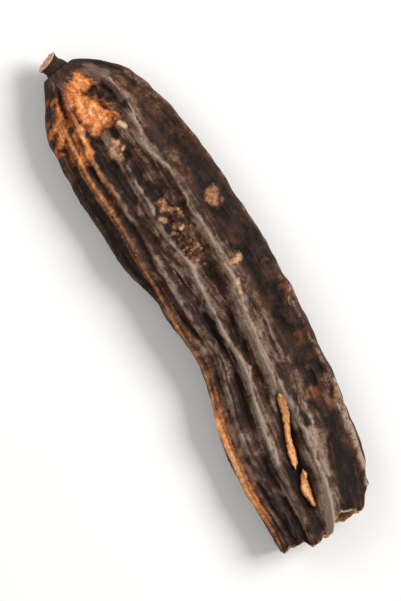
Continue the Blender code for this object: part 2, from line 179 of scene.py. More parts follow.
# The torn end slants to the belly seam, with a tongue of skin, a step beside it and the last seed chamber.
TEAR_SLANT = 0.17
TONGUE_LENGTH = 1.2
TONGUE_Y = -1.7
TONGUE_HALF_WIDTH = 2.4
TONGUE_EDGE = 0.7
TONGUE_LOW = 0.8
TONGUE_HIGH = 1.9
STEP_DEPTH = 1.1
STEP_Y = 2.2
STEP_HALF_WIDTH = 1.3
CORNER_DEPTH = 2.6
CORNER_FROM = 5.4
CORNER_TO = 8.0
TEAR_ROUGHNESS = 0.65
TEAR_GRAIN = 1.9
TEAR_SEED = 7.3
TEAR_FINE_GRAIN = 0.9
TEAR_FINE_SHARE = 0.5
TEAR_FINE_SEED = 2.1
TEAR_BLEND = 8.0
CHAMBER_HALF_BREADTH = 4.0
CHAMBER_HALF_HEIGHT = 1.5
CHAMBER_DEPTH = 6.5
CHAMBER_FLOOR_DEPTH = 1.2
CHAMBER_NARROWING = 0.12
CHAMBER_Y = 0.6

# Three lowered places under the pod, as (x, y, half length, half breadth). Cut at the surface, they give the
# four small flat spots that it rests on.
REST_SPOTS = [(-25.5, 1.1, 3.4, 2.4), (27.5, -6.5, 3.0, 2.0), (24.5, 4.9, 3.0, 2.0)]
REST_SPOT_DROP = 0.7
REST_SPOT_TOP = 1.8

# The stalk's socket in the blunt end, and the stalk, which leans up and towards the belly seam.
SOCKET_RADIUS = 2.3
SOCKET_DEPTH = 2.1
STALK_DIRECTION = (-0.895, -0.369, 0.25)
# The stalk's outline, from its root in the socket to its broken end, as (place along it, radius).
STALK_PROFILE = [
    (-1.72, 0), (-1.62, 0.7), (-1.1, 1.45), (-0.3, 1.85), (0.5, 1.78), (1.2, 1.52), (1.8, 1.62), (2.15, 1.84),
    (2.3, 1.78), (2.28, 1.3), (2.1, 0.7), (2.05, 0),
]
# Its grain and furrows, as (share of the radius, fineness round it, fineness along it), and the lumps of its broken
# end, past this place along it, as (height in mm, fineness, seed). The wood shows from these shares of its rows.
STALK_GRAINS = [(0.07, 2.2, 0.4), (0.03, 6.0, 0.5)]
STALK_END_FROM = 1.9
STALK_END_LUMPS = [(0.18, 1.3, 4.0), (0.12, 3.0, 8.0)]
STALK_WOOD_FROM = (0.62, 0.68)

# Each noise on the skin is (length along the pod in mm, breadth round it in mm, seed).
# The folds wander a little to each side, as a share of a turn, and the ribs are uneven along their length.
MEANDER = 0.006
MEANDER_NOISE = (3.4, 9.0, 4.0)
RIB_UNEVENNESS = 0.30
RIB_NOISE = (2.6, 6.0, 9.0)
# Wrinkles that run along the pod: length, breadth, how broad each line is, its height as a share of the crease
# depth, and a seed. Sunken ones have a height below zero.
WRINKLES = [(13.0, 1.5, 0.10, -1.0, 21.0), (7.0, 0.75, 0.15, -0.5, 33.0), (16.0, 1.9, 0.07, 0.9, 45.0),
            (9.0, 0.9, 0.09, 0.45, 39.0)]
# The wrinkles are deeper in some places than in others, and shallower towards the back seam.
WRINKLE_MEAN = 0.75
WRINKLE_CHANGE = 0.5
WRINKLE_NOISE = (14.0, 5.0, 15.0)
BACK_SMOOTHNESS = 0.65
BACK_SMOOTH_ACROSS = (0.25, 0.6)
# Low lumps of two sizes, as (height in mm, noise). The larger ones are on the back seam's side.
BACK_LUMPS = (0.30, (2.4, 1.5, 83.0))
BACK_LUMPS_ACROSS = (0.1, 0.5)
SMALL_LUMPS = (0.12, (1.5, 0.9, 91.0))
# Crinkles across the pod near the stalk and, lower, on the belly's flank, in mm.
CRINKLE_HEIGHT = 0.10
CRINKLE_NOISE = (1.1, 3.2, 57.0)
CRINKLE_END = (8.0, 18.0)
FLANK_CRINKLES = 0.6
FLANK_ACROSS = (-0.35, -0.6)
# What the marks add to the relief, in mm, with the values of each mark between which it rises.
GRAIN_NOISE = (0.75, 0.7, 51.0)
LUMP_NOISE = (1.1, 1.0, 97.0)
MARK_EDGE = (0.3, 0.7)
SCURF_HEIGHT = 0.28
SCURF_GRAINS = (-0.3, 0.6)
SCAB_HEIGHT = 0.34
SCAB_EDGE = (0.2, 1.0)
HOLE_DEPTH = 0.17
WEAR_AND_SHEEN_HEIGHT = 0.10
PULP_GRAIN_HEIGHT = 0.36
PULP_LUMP_HEIGHT = 0.30
PULP_DEPTH = 0.12
PULP_FACE_ACROSS = (-0.62, -0.52)
STRAND_UNEVENNESS = 0.25
STRAND_NOISE = (0.9, 0.5, 31.0)
STRAND_EDGE_UNEVENNESS = 0.30
STRAND_EDGE_NOISE = (0.8, 2.0, 37.0)
# The marks of broad and fine crests, as (rows, sides, height in mm). A place counts in full where it stands out that
# high over the mean within so many rows and sides each way.
# The skin's tone reads these marks as painted sheen on the crests and painted shade in the hollows.
CRESTS = {"broad": (7, 13, 0.7), "fine": (2, 3, 0.14)}

# Bare lines along the belly seam, as (path, offset in turns, width in mm, points of (place along, share), points of
# (place along, brightness)): the outer rib, a line outside it, three beside it on the inside, and the inner rib. The
# highest brightness, on the outer rib and on the line just inside it from 55 to 80 mm, is a painted highlight.
SEAM_LINES = [
    (OUTER_RIB, 0, 0.34,
     [(2, 0.1), (6, 0.5), (9, 0.9), (14, 0.95), (24, 0.8), (32, 0.75), (50, 0.8), (60, 1), (76, 1), (81, 0.8)],
     [(5, 0.5), (12, 0.66), (17, 0.48), (24, 0.38), (36, 0.4), (42, 0.46), (49, 0.44), (55, 0.56), (61, 0.76),
      (66, 0.86), (72, 0.7), (77, 0.5), (81, 0.35)]),
    (OUTER_RIB, 0.013, 0.26,
     [(11, 0), (15, 0.75), (32, 0.75), (38, 0.4), (44, 0), (81, 0)],
     [(12, 0.5), (20, 0.4), (30, 0.28), (44, 0.22)]),
    (OUTER_RIB, -0.018, 0.36,
     [(35, 0), (38, 0.8), (45, 0.7), (48, 0.5), (54, 0.62), (60, 0.8), (66, 0.9), (76, 0.9), (80, 0.3)],
     [(36, 0.18), (46, 0.26), (52, 0.42), (60, 0.38), (68, 0.5), (74, 0.5), (79, 0.15)]),
    (OUTER_RIB, -0.034, 0.44,
     [(51, 0), (56, 0.6), (73, 0.62), (78, 0), (81, 0)],
     [(52, 0.16), (62, 0.22), (72, 0.24), (78, 0.1)]),
    (OUTER_RIB, -0.007, 0.34,
     [(55, 0), (60, 0.95), (76, 1), (79, 0.5), (81, 0)],
     [(56, 0.48), (61, 0.74), (66, 0.9), (71, 0.8), (76, 0.52), (80, 0.3)]),
    (INNER_RIB, 0, 0.4,
     [(5, 0), (8, 0.9), (13, 1), (16, 0.7), (20, 0.65), (23, 0.5), (25, 0), (81, 0)],
     [(5, 0.4), (8.5, 0.95), (11, 0.8), (13, 0.62), (17, 0.46), (24, 0.26)]),
]
# How much the inner rib stands out, as (place along, share).
INNER_RIB_HEIGHT = [(0, 1), (42, 1), (48, 0.25), (81, 0.25)]

# Bare orange pulp, where the skin is rubbed through, on the flank by the stalk and in the band along the outer rib,
# as strokes of (share, half width in mm, brightness, points of (place along in mm, turn)).
BARE_PULP = [
    (0.9, 1.35, 0.76, [(3.1, 0.214), (3.3, 0.29)]), (1, 0.85, 0.68, [(4, 0.198), (4.2, 0.25)]),
    (0.62, 0.8, 0.22, [(5.8, 0.228), (8.8, 0.222)]), (0.85, 1.35, 0.7, [(3.7, 0.303), (5.6, 0.308)]),
    (1, 1.75, 0.64, [(6.3, 0.288), (9.9, 0.283)]), (1, 0.8, 0.6, [(7.2, 0.25), (9.4, 0.245)]),
    (0.9, 0.35, 0.5, [(10.2, 0.243), (11.6, 0.218)]), (0.9, 0.34, 0.5, [(9.4, 0.232), (10.4, 0.208)]),
    (0.85, 0.32, 0.46, [(8.2, 0.228), (9, 0.204)]), (0.9, 0.6, 0.5, [(10.6, 0.312), (11.4, 0.3)]),
    (0.8, 0.8, 0.5, [(4, 0.342), (6.2, 0.35)]), (1, 0.8, 0.78, [(2.9, 0.215), (3.6, 0.25)]),
    (0.9, 0.9, 0.84, [(4.6, 0.28), (5.9, 0.3)]), (1, 1.2, 0.8, [(7, 0.262), (9.2, 0.27)]),
    (1, 0.9, 0.86, [(9.6, 0.298), (10.4, 0.306)]),
    (1, 0.52, 0.8, [(8.5, 0.335), (10, 0.342), (11.5, 0.35), (12.6, 0.357), (13.4, 0.364)]),
    (0.9, 0.6, 0.3, [(7.3, 0.336), (8.3, 0.34)]),
    (0.7, 0.5, 0.15, [(18.4, 0.375), (20.5, 0.373), (22.8, 0.377)]),
    (0.9, 1, 0.56, [(4.6, 0.393), (7.2, 0.396)]), (1, 0.8, 0.74, [(8.3, 0.404), (8.5, 0.432)]),
    (1, 0.75, 0.56, [(9.2, 0.425), (9.4, 0.475)]), (1, 0.85, 0.7, [(6.3, 0.412), (6.5, 0.428)]),
    # The next stroke, in the seam's groove by the stalk, also lifts the groove's shade as painted light.
    (1, 0.7, 0.44, [(6.8, 0.362), (9.6, 0.366)]),
    (0.85, 0.6, 0.42, [(9.4, 0.368), (11.6, 0.378), (14, 0.384)]),
    (0.8, 0.45, 0.46, [(10, 0.404), (13, 0.41)]), (0.9, 0.7, 0.6, [(6.9, 0.44), (7, 0.485)]),
    (0.8, 0.55, 0.4, [(10.5, 0.436), (10.6, 0.48)]), (0.7, 0.6, 0.35, [(11.6, 0.414), (13.2, 0.422)]),
    (0.6, 0.45, 0.4, [(16.3, 0.407), (16.7, 0.408)]), (0.8, 0.6, 0.45, [(3.2, 0.392), (3.5, 0.422)]),
    (0.8, 0.6, 0.5, [(2.6, 0.44), (3.4, 0.485)]), (0.7, 0.5, 0.35, [(12.4, 0.445), (13.2, 0.47)]),
    (0.8, 0.55, 0.5, [(5.2, 0.445), (5.4, 0.48)]),
]
# Lighter lines on the crests of the folds, partly wear and partly a painted sheen, as strokes of (share, half width in
# mm, points of (place along in mm, turn)). The next tables hold strokes of the same kind.
WEAR_AND_SHEEN = [
    (1, 0.42,
     [(5, 0.115), (6.2, 0.137), (7.5, 0.145), (9.2, 0.149), (10.8, 0.157), (12, 0.172), (13, 0.185)]),
    (0.7, 0.4, [(13, 0.185), (14.2, 0.168)]), (0.8, 0.5, [(13.8, 0.181), (15.2, 0.198), (16.4, 0.212)]),
    (0.9, 0.5, [(16.4, 0.212), (18, 0.206), (19.8, 0.192), (22, 0.184)]),
    (0.85, 0.36,
     [(22, 0.184), (24, 0.188), (26.5, 0.19), (28, 0.197), (30, 0.195), (32, 0.193), (36, 0.198), (41, 0.192)]),
    (0.6, 0.5, [(43, 0.204), (46, 0.211), (49, 0.216), (51.5, 0.234), (54, 0.24), (55.4, 0.25)]),
    (0.45, 0.5, [(53.7, 0.221), (56.5, 0.223), (59.3, 0.226)]),
    (0.7, 0.28, [(61, 0.181), (62.4, 0.196), (63.2, 0.205)]), (0.5, 0.9, [(62.5, 0.172), (67.5, 0.175)]),
    (1, 0.46,
     [(63.2, 0.205), (64.6, 0.214), (66, 0.203), (67.2, 0.194), (68.5, 0.197), (70, 0.205), (72, 0.211)]),
    (0.8, 1.6, [(76.5, 0.222), (78.5, 0.232), (81, 0.252)]),
    (0.9, 0.55, [(72.6, 0.206), (75.5, 0.206), (76.6, 0.201), (78, 0.211), (80, 0.228), (81.5, 0.245)]),
    (0.7, 0.45, [(18.2, 0.287), (20.5, 0.295), (24.5, 0.29), (26.3, 0.298)]),
    (1, 0.45,
     [(33.2, 0.31), (34.5, 0.303), (36, 0.291), (37.4, 0.296), (39.2, 0.312), (40.6, 0.318), (41.8, 0.33)]),
    (0.9, 0.45, [(42, 0.32), (43.5, 0.311), (45, 0.313), (46.2, 0.322), (47.5, 0.332)]),
    (0.9, 0.5, [(48.5, 0.322), (49.4, 0.334)]),
    (0.9, 0.6, [(49.6, 0.328), (51, 0.318), (52.5, 0.305), (53.8, 0.29)]),
    (0.8, 0.38, [(54.2, 0.296), (55.5, 0.308), (57.2, 0.322)]), (1, 0.5, [(58.5, 0.317), (60.7, 0.313)]),
    (0.9, 0.5, [(62.2, 0.325), (62.5, 0.336)]), (0.8, 0.36, [(63.5, 0.322), (66, 0.311), (69, 0.322)]),
    (0.9, 0.42, [(34.8, 0.372), (36, 0.383), (37.6, 0.392), (40.4, 0.393)]),
    (0.7, 0.32, [(41.5, 0.382), (43, 0.393)]), (0.5, 0.32, [(34, 0.342), (35.2, 0.347), (38, 0.362)]),
    (0.5, 0.4, [(50, 0.375), (53, 0.366), (54.3, 0.375)]), (0.5, 0.3, [(76.4, 0.333), (76.6, 0.35)]),
    (0.5, 0.3, [(77.2, 0.322), (78.6, 0.352)]), (1, 0.32, [(45.8, 0.042), (47.2, 0.055), (48.2, 0.063)]),
    (0.6, 0.32, [(48.5, 0.056), (51.2, 0.057)]), (0.5, 0.4, [(6, 0.052), (12, 0.05)]),
    (0.6, 0.8, [(44, 0.05), (54, 0.051), (60, 0.048)]),
    (1, 1.1, [(61, 0.034), (66, 0.035), (76, 0.036), (80.5, 0.044)]),
    (0.7, 1.5, [(60, 0.062), (64, 0.056), (70, 0.046), (76, 0.042)]), (0.6, 0.9, [(6, 0.045), (9.5, 0.044)]),
]
# The lines of wear and painted sheen are drawn narrower than their half widths and wander less than other strokes, by
# these factors.
WEAR_AND_SHEEN_NARROWING = 0.42
WEAR_AND_SHEEN_WANDER = 0.5
# Broad, lighter stretches of skin, and painted light that lifts the shade in grooves and in the valleys beside the
# folds.
LIGHTER_SKIN_AND_PAINTED_LIGHT = [
    (0.6, 1.4, [(44, 0.196), (50, 0.212), (55, 0.224)]), (0.5, 0.7, [(59, 0.208), (65, 0.202)]),
    (0.45, 1.6, [(45, 0.155), (52, 0.155), (60, 0.165)]), (0.5, 1.2, [(62, 0.168), (69, 0.18)]),
    (1.2, 1.3, [(43, 0.235), (48, 0.245), (60, 0.248)]), (1.9, 0.95, [(59.5, 0.222), (64, 0.224)]),
    (0.8, 1.1, [(69, 0.228), (72, 0.228), (75, 0.222)]),
    (1.75, 1.3, [(75, 0.226), (79, 0.234), (81.5, 0.252)]), (1.25, 0.8, [(46, 0.26), (60, 0.262)]),
    (0.7, 0.6, [(14, 0.226), (19.5, 0.23)]), (1.1, 0.8, [(20.5, 0.132), (24.5, 0.138)]),
    (0.8, 0.5, [(25, 0.212), (30, 0.21)]), (0.9, 0.5, [(34, 0.312), (40, 0.322), (49, 0.326)]),
    (1.25, 0.7, [(59, 0.324), (66, 0.328)]), (1, 0.7, [(62, 0.346), (79, 0.343)]),
    (0.8, 0.5, [(5.5, 0.142), (9.5, 0.146)]), (0.5, 0.6, [(45, 0.375), (54, 0.37)]),
    (0.7, 1.2, [(29, 0.198), (36, 0.195), (40, 0.185), (45, 0.19)]),
    (0.8, 1.2, [(65, 0.192), (70, 0.196), (78, 0.19)]),
    (0.9, 1.1, [(31, 0.308), (38, 0.304), (41, 0.318), (43.5, 0.325)]),
    (0.85, 0.9, [(43.5, 0.325), (64, 0.326)]), (1, 0.9, [(5, 0.142), (9.5, 0.145)]),
    (0.7, 1.3, [(10, 0.205), (15, 0.205), (20, 0.2)]), (1, 0.8, [(5, 0.345), (10, 0.358), (24, 0.364)]),
    (0.4, 0.9, [(36, 0.402), (50, 0.404)]), (1.3, 0.8, [(39, 0.402), (70, 0.406)]),
    (0.5, 1.2, [(33, 0.325), (38.5, 0.325)]), (0.7, 1.2, [(13, 0.3), (22, 0.314)]),
    (0.4, 1.2, [(22, 0.314), (29, 0.312)]), (0.6, 0.6, [(60, 0.368), (69, 0.37)]),
    (0.9, 1.4, [(61, 0.122), (64.5, 0.134)]), (0.8, 0.8, [(60.5, 0.084), (64, 0.084)]),
    (0.8, 0.8, [(65, 0.146), (69, 0.146)]), (1.6, 0.6, [(39, 0.328), (44.5, 0.334)]),
    (1.1, 0.6, [(28, 0.208), (40, 0.206)]), (1.2, 0.6, [(14, 0.362), (25, 0.363)]),
    (0.7, 0.8, [(10, 0.146), (15, 0.142)]), (0.9, 0.9, [(63, 0.04), (70, 0.042), (75, 0.044)]),
    (0.8, 1.3, [(5, 0.1), (9, 0.092), (13, 0.085)]), (0.3, 1.2, [(22.5, 0.15), (34, 0.165)]),
    (1.65, 0.8, [(55, 0.403), (66, 0.405)]), (0.9, 0.8, [(34.5, 0.396), (39, 0.4)]),
    (1.3, 0.6, [(30.5, 0.302), (39.5, 0.301)]), (0.8, 0.7, [(60.5, 0.143), (63, 0.146)]),
    (0.9, 0.8, [(65, 0.058), (70, 0.06)]), (1, 0.7, [(47.5, 0.338), (53, 0.34)]),
    (1.4, 0.5, [(48.5, 0.377), (53.5, 0.378)]),
]
# Greyish dust, mostly on the end by the stalk.
DUST = [
    (1, 1.2, [(2.5, 0.11), (3.6, 0.14)]), (1, 0.9, [(4.2, 0.1), (4.6, 0.14)]),
    (0.8, 0.8, [(2.5, 0.165), (4.5, 0.17)]), (0.8, 0.8, [(5.8, 0.15), (9, 0.156)]),
    (0.6, 0.6, [(5.4, 0.062), (5.6, 0.072)]), (0.5, 0.9, [(14.2, 0.205), (15.4, 0.228)]),
    (0.4, 0.5, [(19.9, 0.344), (20.8, 0.344)]), (0.4, 0.9, [(11, 0.165), (12.3, 0.195)]),
]
# Dried scabs, as strokes of (share, half width in mm, paleness, points), then the scurf and red-brown spots.
SCABS = [
    (1, 0.66, 0.64, [(13.4, 0.278), (13.9, 0.271)]), (1, 0.68, 0.58, [(14.5, 0.284), (15.1, 0.302)]),
    (1, 0.52, 0.56, [(16.2, 0.289), (16.5, 0.292)]), (0.7, 0.35, 0.4, [(13.2, 0.219), (13.5, 0.221)]),
    (0.6, 0.3, 0.35, [(13.3, 0.236), (13.5, 0.236)]), (1, 1.15, 0.36, [(28.2, 0.096), (29.1, 0.11)]),
    (0.85, 0.62, 0.46, [(25.3, 0.266), (26.3, 0.262), (27.4, 0.246), (28.4, 0.238)]),
    (0.9, 0.45, 0.5, [(38.7, 0.16), (38.9, 0.172)]), (1, 0.48, 0.55, [(42.2, 0.196), (42.8, 0.201)]),
    (0.6, 0.4, 0.3, [(57.1, 0.103), (57.8, 0.108)]), (0.9, 0.4, 0.5, [(62.1, 0.05), (63, 0.055)]),
    (0.5, 0.35, 0.4, [(40.3, 0.29), (41.2, 0.314)]), (0.4, 0.8, 0.2, [(35.8, 0.16), (38, 0.155)]),
    (0.5, 0.5, 0.25, [(20.1, 0.152), (20.2, 0.16)]), (0.6, 0.38, 0.35, [(40.6, 0.06), (40.8, 0.078)]),
    (1, 0.45, 0.9, [(11.8, 0.228), (12.5, 0.216)]), (0.9, 0.36, 0.8, [(15, 0.261), (15.3, 0.262)]),
    (1, 0.48, 0.85, [(15.6, 0.286), (15.8, 0.288)]), (0.9, 0.36, 0.8, [(27.6, 0.284), (27.8, 0.286)]),
    (1, 0.38, 0.95, [(30.1, 0.257), (30.3, 0.258)]), (0.7, 0.38, 0.7, [(29.4, 0.086), (29.5, 0.088)]),
    (0.9, 0.6, 0.8, [(38.2, 0.14), (38.6, 0.158)]), (0.9, 0.45, 0.85, [(41.4, 0.189), (42, 0.195)]),
]
SCURF = [(1, 1.7, [(30.2, 0.268), (35.2, 0.262)]), (0.9, 0.8, [(30, 0.228), (34.5, 0.238)])]
RUSSET = [
    (0.8, 0.9, [(52.9, 0.062), (53.2, 0.09)]), (0.9, 0.7, [(61.2, 0.108), (61.9, 0.112)]),
    (0.5, 0.8, [(69.2, 0.083), (69.4, 0.09)]), (0.6, 0.5, [(44.8, 0.046), (47.8, 0.076)]),
    (0.5, 1.4, [(16.8, 0.08), (19.2, 0.062)]), (0.5, 0.45, [(73, 0.066), (80, 0.084)]),
    (0.8, 0.36, [(6.7, 0.226), (6.8, 0.23)]), (0.8, 0.36, [(9.6, 0.226), (9.7, 0.228)]),
    (0.7, 0.4, [(73.4, 0.246), (75.6, 0.254)]), (0.5, 0.6, [(10.8, 0.062), (12, 0.085)]),
    (0.5, 0.8, [(8.8, 0.082), (9.4, 0.086)]),
]
# Dark holes and cracks, and painted shade in the hollows, in the valleys beside the folds and on the belly's flank.
DARK_AND_PAINTED_SHADE = [
    (0.8, 0.45, [(5.2, 0.215), (6.2, 0.255)]), (0.9, 0.5, [(6.7, 0.2), (6.8, 0.211)]),
    (0.8, 0.42, [(8, 0.19), (8, 0.2)]), (0.5, 1, [(6.2, 0.17), (10, 0.175)]),
    (0.9, 0.34, [(10.8, 0.262), (11.1, 0.28)]), (1, 0.5, [(11.7, 0.257), (12.8, 0.259)]),
    (0.8, 0.45, [(11.9, 0.318), (12.7, 0.311)]),
    (0.8, 0.36, [(10.6, 0.327), (12, 0.336), (13.2, 0.345), (14.5, 0.352), (18.5, 0.351)]),
    (0.8, 0.34, [(6.2, 0.329), (8.4, 0.328)]), (0.7, 0.38, [(6.7, 0.36), (7.2, 0.366)]),
    (0.8, 0.26, [(16.2, 0.262), (17.6, 0.281)]), (0.9, 0.36, [(18.6, 0.28), (19.2, 0.281)]),
    (0.9, 0.3, [(19.9, 0.279), (20.1, 0.279)]), (0.8, 0.36, [(23, 0.25), (23.6, 0.247)]),
    (0.7, 0.36, [(21.8, 0.268), (24.3, 0.271)]), (0.6, 0.36, [(27.2, 0.206), (28, 0.214)]),
    (0.6, 0.8, [(16.5, 0.321), (22, 0.33)]), (0.9, 0.4, [(57.1, 0.086), (57.4, 0.088)]),
    (0.8, 0.5, [(57.9, 0.07), (58.6, 0.07)]), (0.8, 0.45, [(58.4, 0.1), (60.2, 0.104)]),
    (0.7, 0.4, [(62.5, 0.148), (64, 0.136), (66, 0.126)]),
    (0.7, 0.4, [(68, 0.13), (69.6, 0.145), (71, 0.155)]), (0.8, 0.36, [(63.5, 0.191), (65.3, 0.192)]),
    (0.6, 0.28, [(64.2, 0.232), (66, 0.238)]), (0.8, 0.36, [(62, 0.059), (63, 0.064)]),
    (0.9, 0.4, [(10.3, 0.411), (10.7, 0.417)]), (0.7, 0.45, [(8, 0.436), (8.1, 0.45)]),
    (0.7, 0.6, [(50.3, 0.27), (51.3, 0.274)]), (0.6, 0.5, [(37.4, 0.118), (37.8, 0.122)]),
    (0.6, 0.4, [(36.5, 0.138), (36.8, 0.14)]), (0.7, 0.7, [(76.5, 0.384), (79.5, 0.392)]),
    (0.7, 0.4, [(46.8, 0.35), (47.8, 0.352)]), (0.7, 0.5, [(54, 0.342), (55.2, 0.344)]),
    (0.5, 0.9, [(17.5, 0.44), (33, 0.45)]), (0.7, 0.36, [(77.5, 0.299), (78.1, 0.301)]),
    (0.6, 0.4, [(72, 0.366), (72.8, 0.37)]), (0.4, 1.2, [(39, 0.368), (50, 0.372)]),
    (0.5, 1.2, [(55, 0.368), (61, 0.372)]), (0.5, 1.3, [(70, 0.37), (80, 0.372)]),
    (0.6, 1, [(70, 0.302), (79, 0.302)]), (0.35, 1.6, [(16, 0.43), (24, 0.445), (36, 0.46)]),
    (0.3, 1.1, [(20, 0.162), (34, 0.162)]), (0.4, 0.6, [(21.5, 0.344), (30, 0.34)]),
    (0.6, 0.6, [(26, 0.287), (34, 0.285)]), (0.6, 0.6, [(44.8, 0.297), (49.6, 0.301)]),
    (0.62, 0.7, [(41, 0.385), (60, 0.385)]), (0.65, 0.5, [(29, 0.176), (33.5, 0.176)]),
    (0.3, 0.5, [(44, 0.176), (52, 0.18)]), (0.5, 0.6, [(15, 0.168), (20, 0.171)]),
    (0.5, 0.45, [(12, 0.338), (22, 0.346)]), (0.5, 0.5, [(15, 0.287), (25, 0.286)]),
    (0.5, 0.6, [(55.5, 0.206), (64, 0.203)]), (0.55, 0.8, [(65, 0.386), (74, 0.382)]),
    (0.58, 1.1, [(73, 0.148), (80, 0.156)]), (0.3, 1.6, [(66, 0.1), (78, 0.095)]),
    (0.25, 1.6, [(18, 0.085), (40, 0.065)]), (0.25, 1.4, [(48, 0.082), (54, 0.082)]),
    (0.45, 1.1, [(1, 0.04), (3.6, 0.046)]), (0.5, 1.5, [(1.5, 0.46), (4.5, 0.47)]),
    (0.25, 0.9, [(25, 0.362), (31, 0.362)]), (0.5, 0.5, [(24.5, 0.403), (31, 0.403)]),
    (0.45, 0.4, [(15, 0.38), (20, 0.38)]), (0.25, 0.6, [(60.5, 0.266), (65, 0.27)]),
    (0.22, 0.9, [(37, 0.122), (45, 0.124)]), (0.2, 0.6, [(51, 0.16), (59, 0.162)]),
    (0.22, 0.5, [(65.5, 0.218), (69.5, 0.219)]), (0.35, 0.6, [(17.5, 0.419), (21, 0.417)]),
]
# How far each stroke wanders, in mm, with the noises for its way along and round the pod.
STROKE_WANDER = 0.55
WANDER_ALONG_NOISE = (1.3, 1.3, 71.0)
WANDER_ROUND_NOISE = (1.3, 1.3, 79.0)
# A patch's edge: over how many mm it fades, how steeply, and what frays it, as (share, noise).
EDGE_SOFTNESS = 0.9
EDGE_STEEPNESS = 0.7
EDGE_FRAY = [(0.40, (1.9, 1.9, 61.0)), (0.20, (0.6, 0.6, 67.0))]
# Where the upper face starts and ends, as turns, and where its browner side by the back seam starts across it.
UPPER_START = (0.02, 0.05)
UPPER_END = (0.47, 0.5)
BACK_ACROSS = (0.36, 0.62)

# The pale lip of skin round the torn end: its length in mm, the share of that which is pale in full, and how far it
# frays. The skin turns over the torn edge for some rows of faces.
LIP_LENGTH = 0.45
LIP_FULL = 0.3
LIP_FRAY = 0.4
LIP_ROWS = 1.5
# The torn pulp, from the lip (0) to the chamber's mouth (1): how far it is drawn back, in mm, its pits, and the rim.
PULP_SUNK = 0.35
PULP_START = (0.04, 0.14)
PULP_END = (0.86, 0.95)
PIT_SIZE = 0.95
PIT_REACH = 0.5
SMALL_PIT_SIZE = 0.45
SMALL_PIT_SHARE = 0.5
CHAMBER_RIM = 0.35
RIM_START = (0.84, 0.93)
RIM_MIDDLE = 0.95
RIM_WIDTH = 0.05

# The noises of the skin's colour, as (mapping, scale per mm, detail): lines along the pod 0.6 mm apart, blotches of
# 3 mm, mottling of 1 mm, crumbs of 0.25 mm, browner patches of 2 mm, grains of 0.5 mm and streaks 1.1 mm broad.
SKIN_MAPPINGS = {"long": {"Scale": (0.12, 1.0, 1.0)}, "streaked": {"Scale": (0.60, 1.0, 1.0)},
                 "moved": {"Location": (40.0, 7.0, 3.0)}}
SKIN_NOISES = {"lines": ("long", 1.6, 6.0), "blotch": ("plain", 0.34, 5.0), "mottle": ("plain", 1.0, 4.0),
               "crumb": ("plain", 4.0, 4.0), "hue": ("moved", 0.55, 4.0), "grain": ("moved", 2.0, 3.0),
               "flow": ("streaked", 0.9, 4.0)}
# The skin's tone: a base and what each noise and mark adds. Crests are lighter, partly from wear and partly from
# painted sheen, and hollows and wrinkles are darker with painted shade.
TONE_BASE = -0.57
TONE = {"lines": 0.05, "blotch": 0.74, "mottle": 0.50, "flow": 0.42, "grain": 0.24, "crumb": 0.24, "broad": 0.15,
        "fine": 0.13, "wear_and_sheen_part": 0.50, "light": 0.27, "dark": -0.40, "back": -0.16}
# The lines of wear and painted sheen fade out where the mottling falls from the second of these values to the first.
WEAR_AND_SHEEN_BREAKS = (0.30, 0.62)
# Each grain of scurf is about 0.6 mm across.
SCURF_SCALE = 1.7
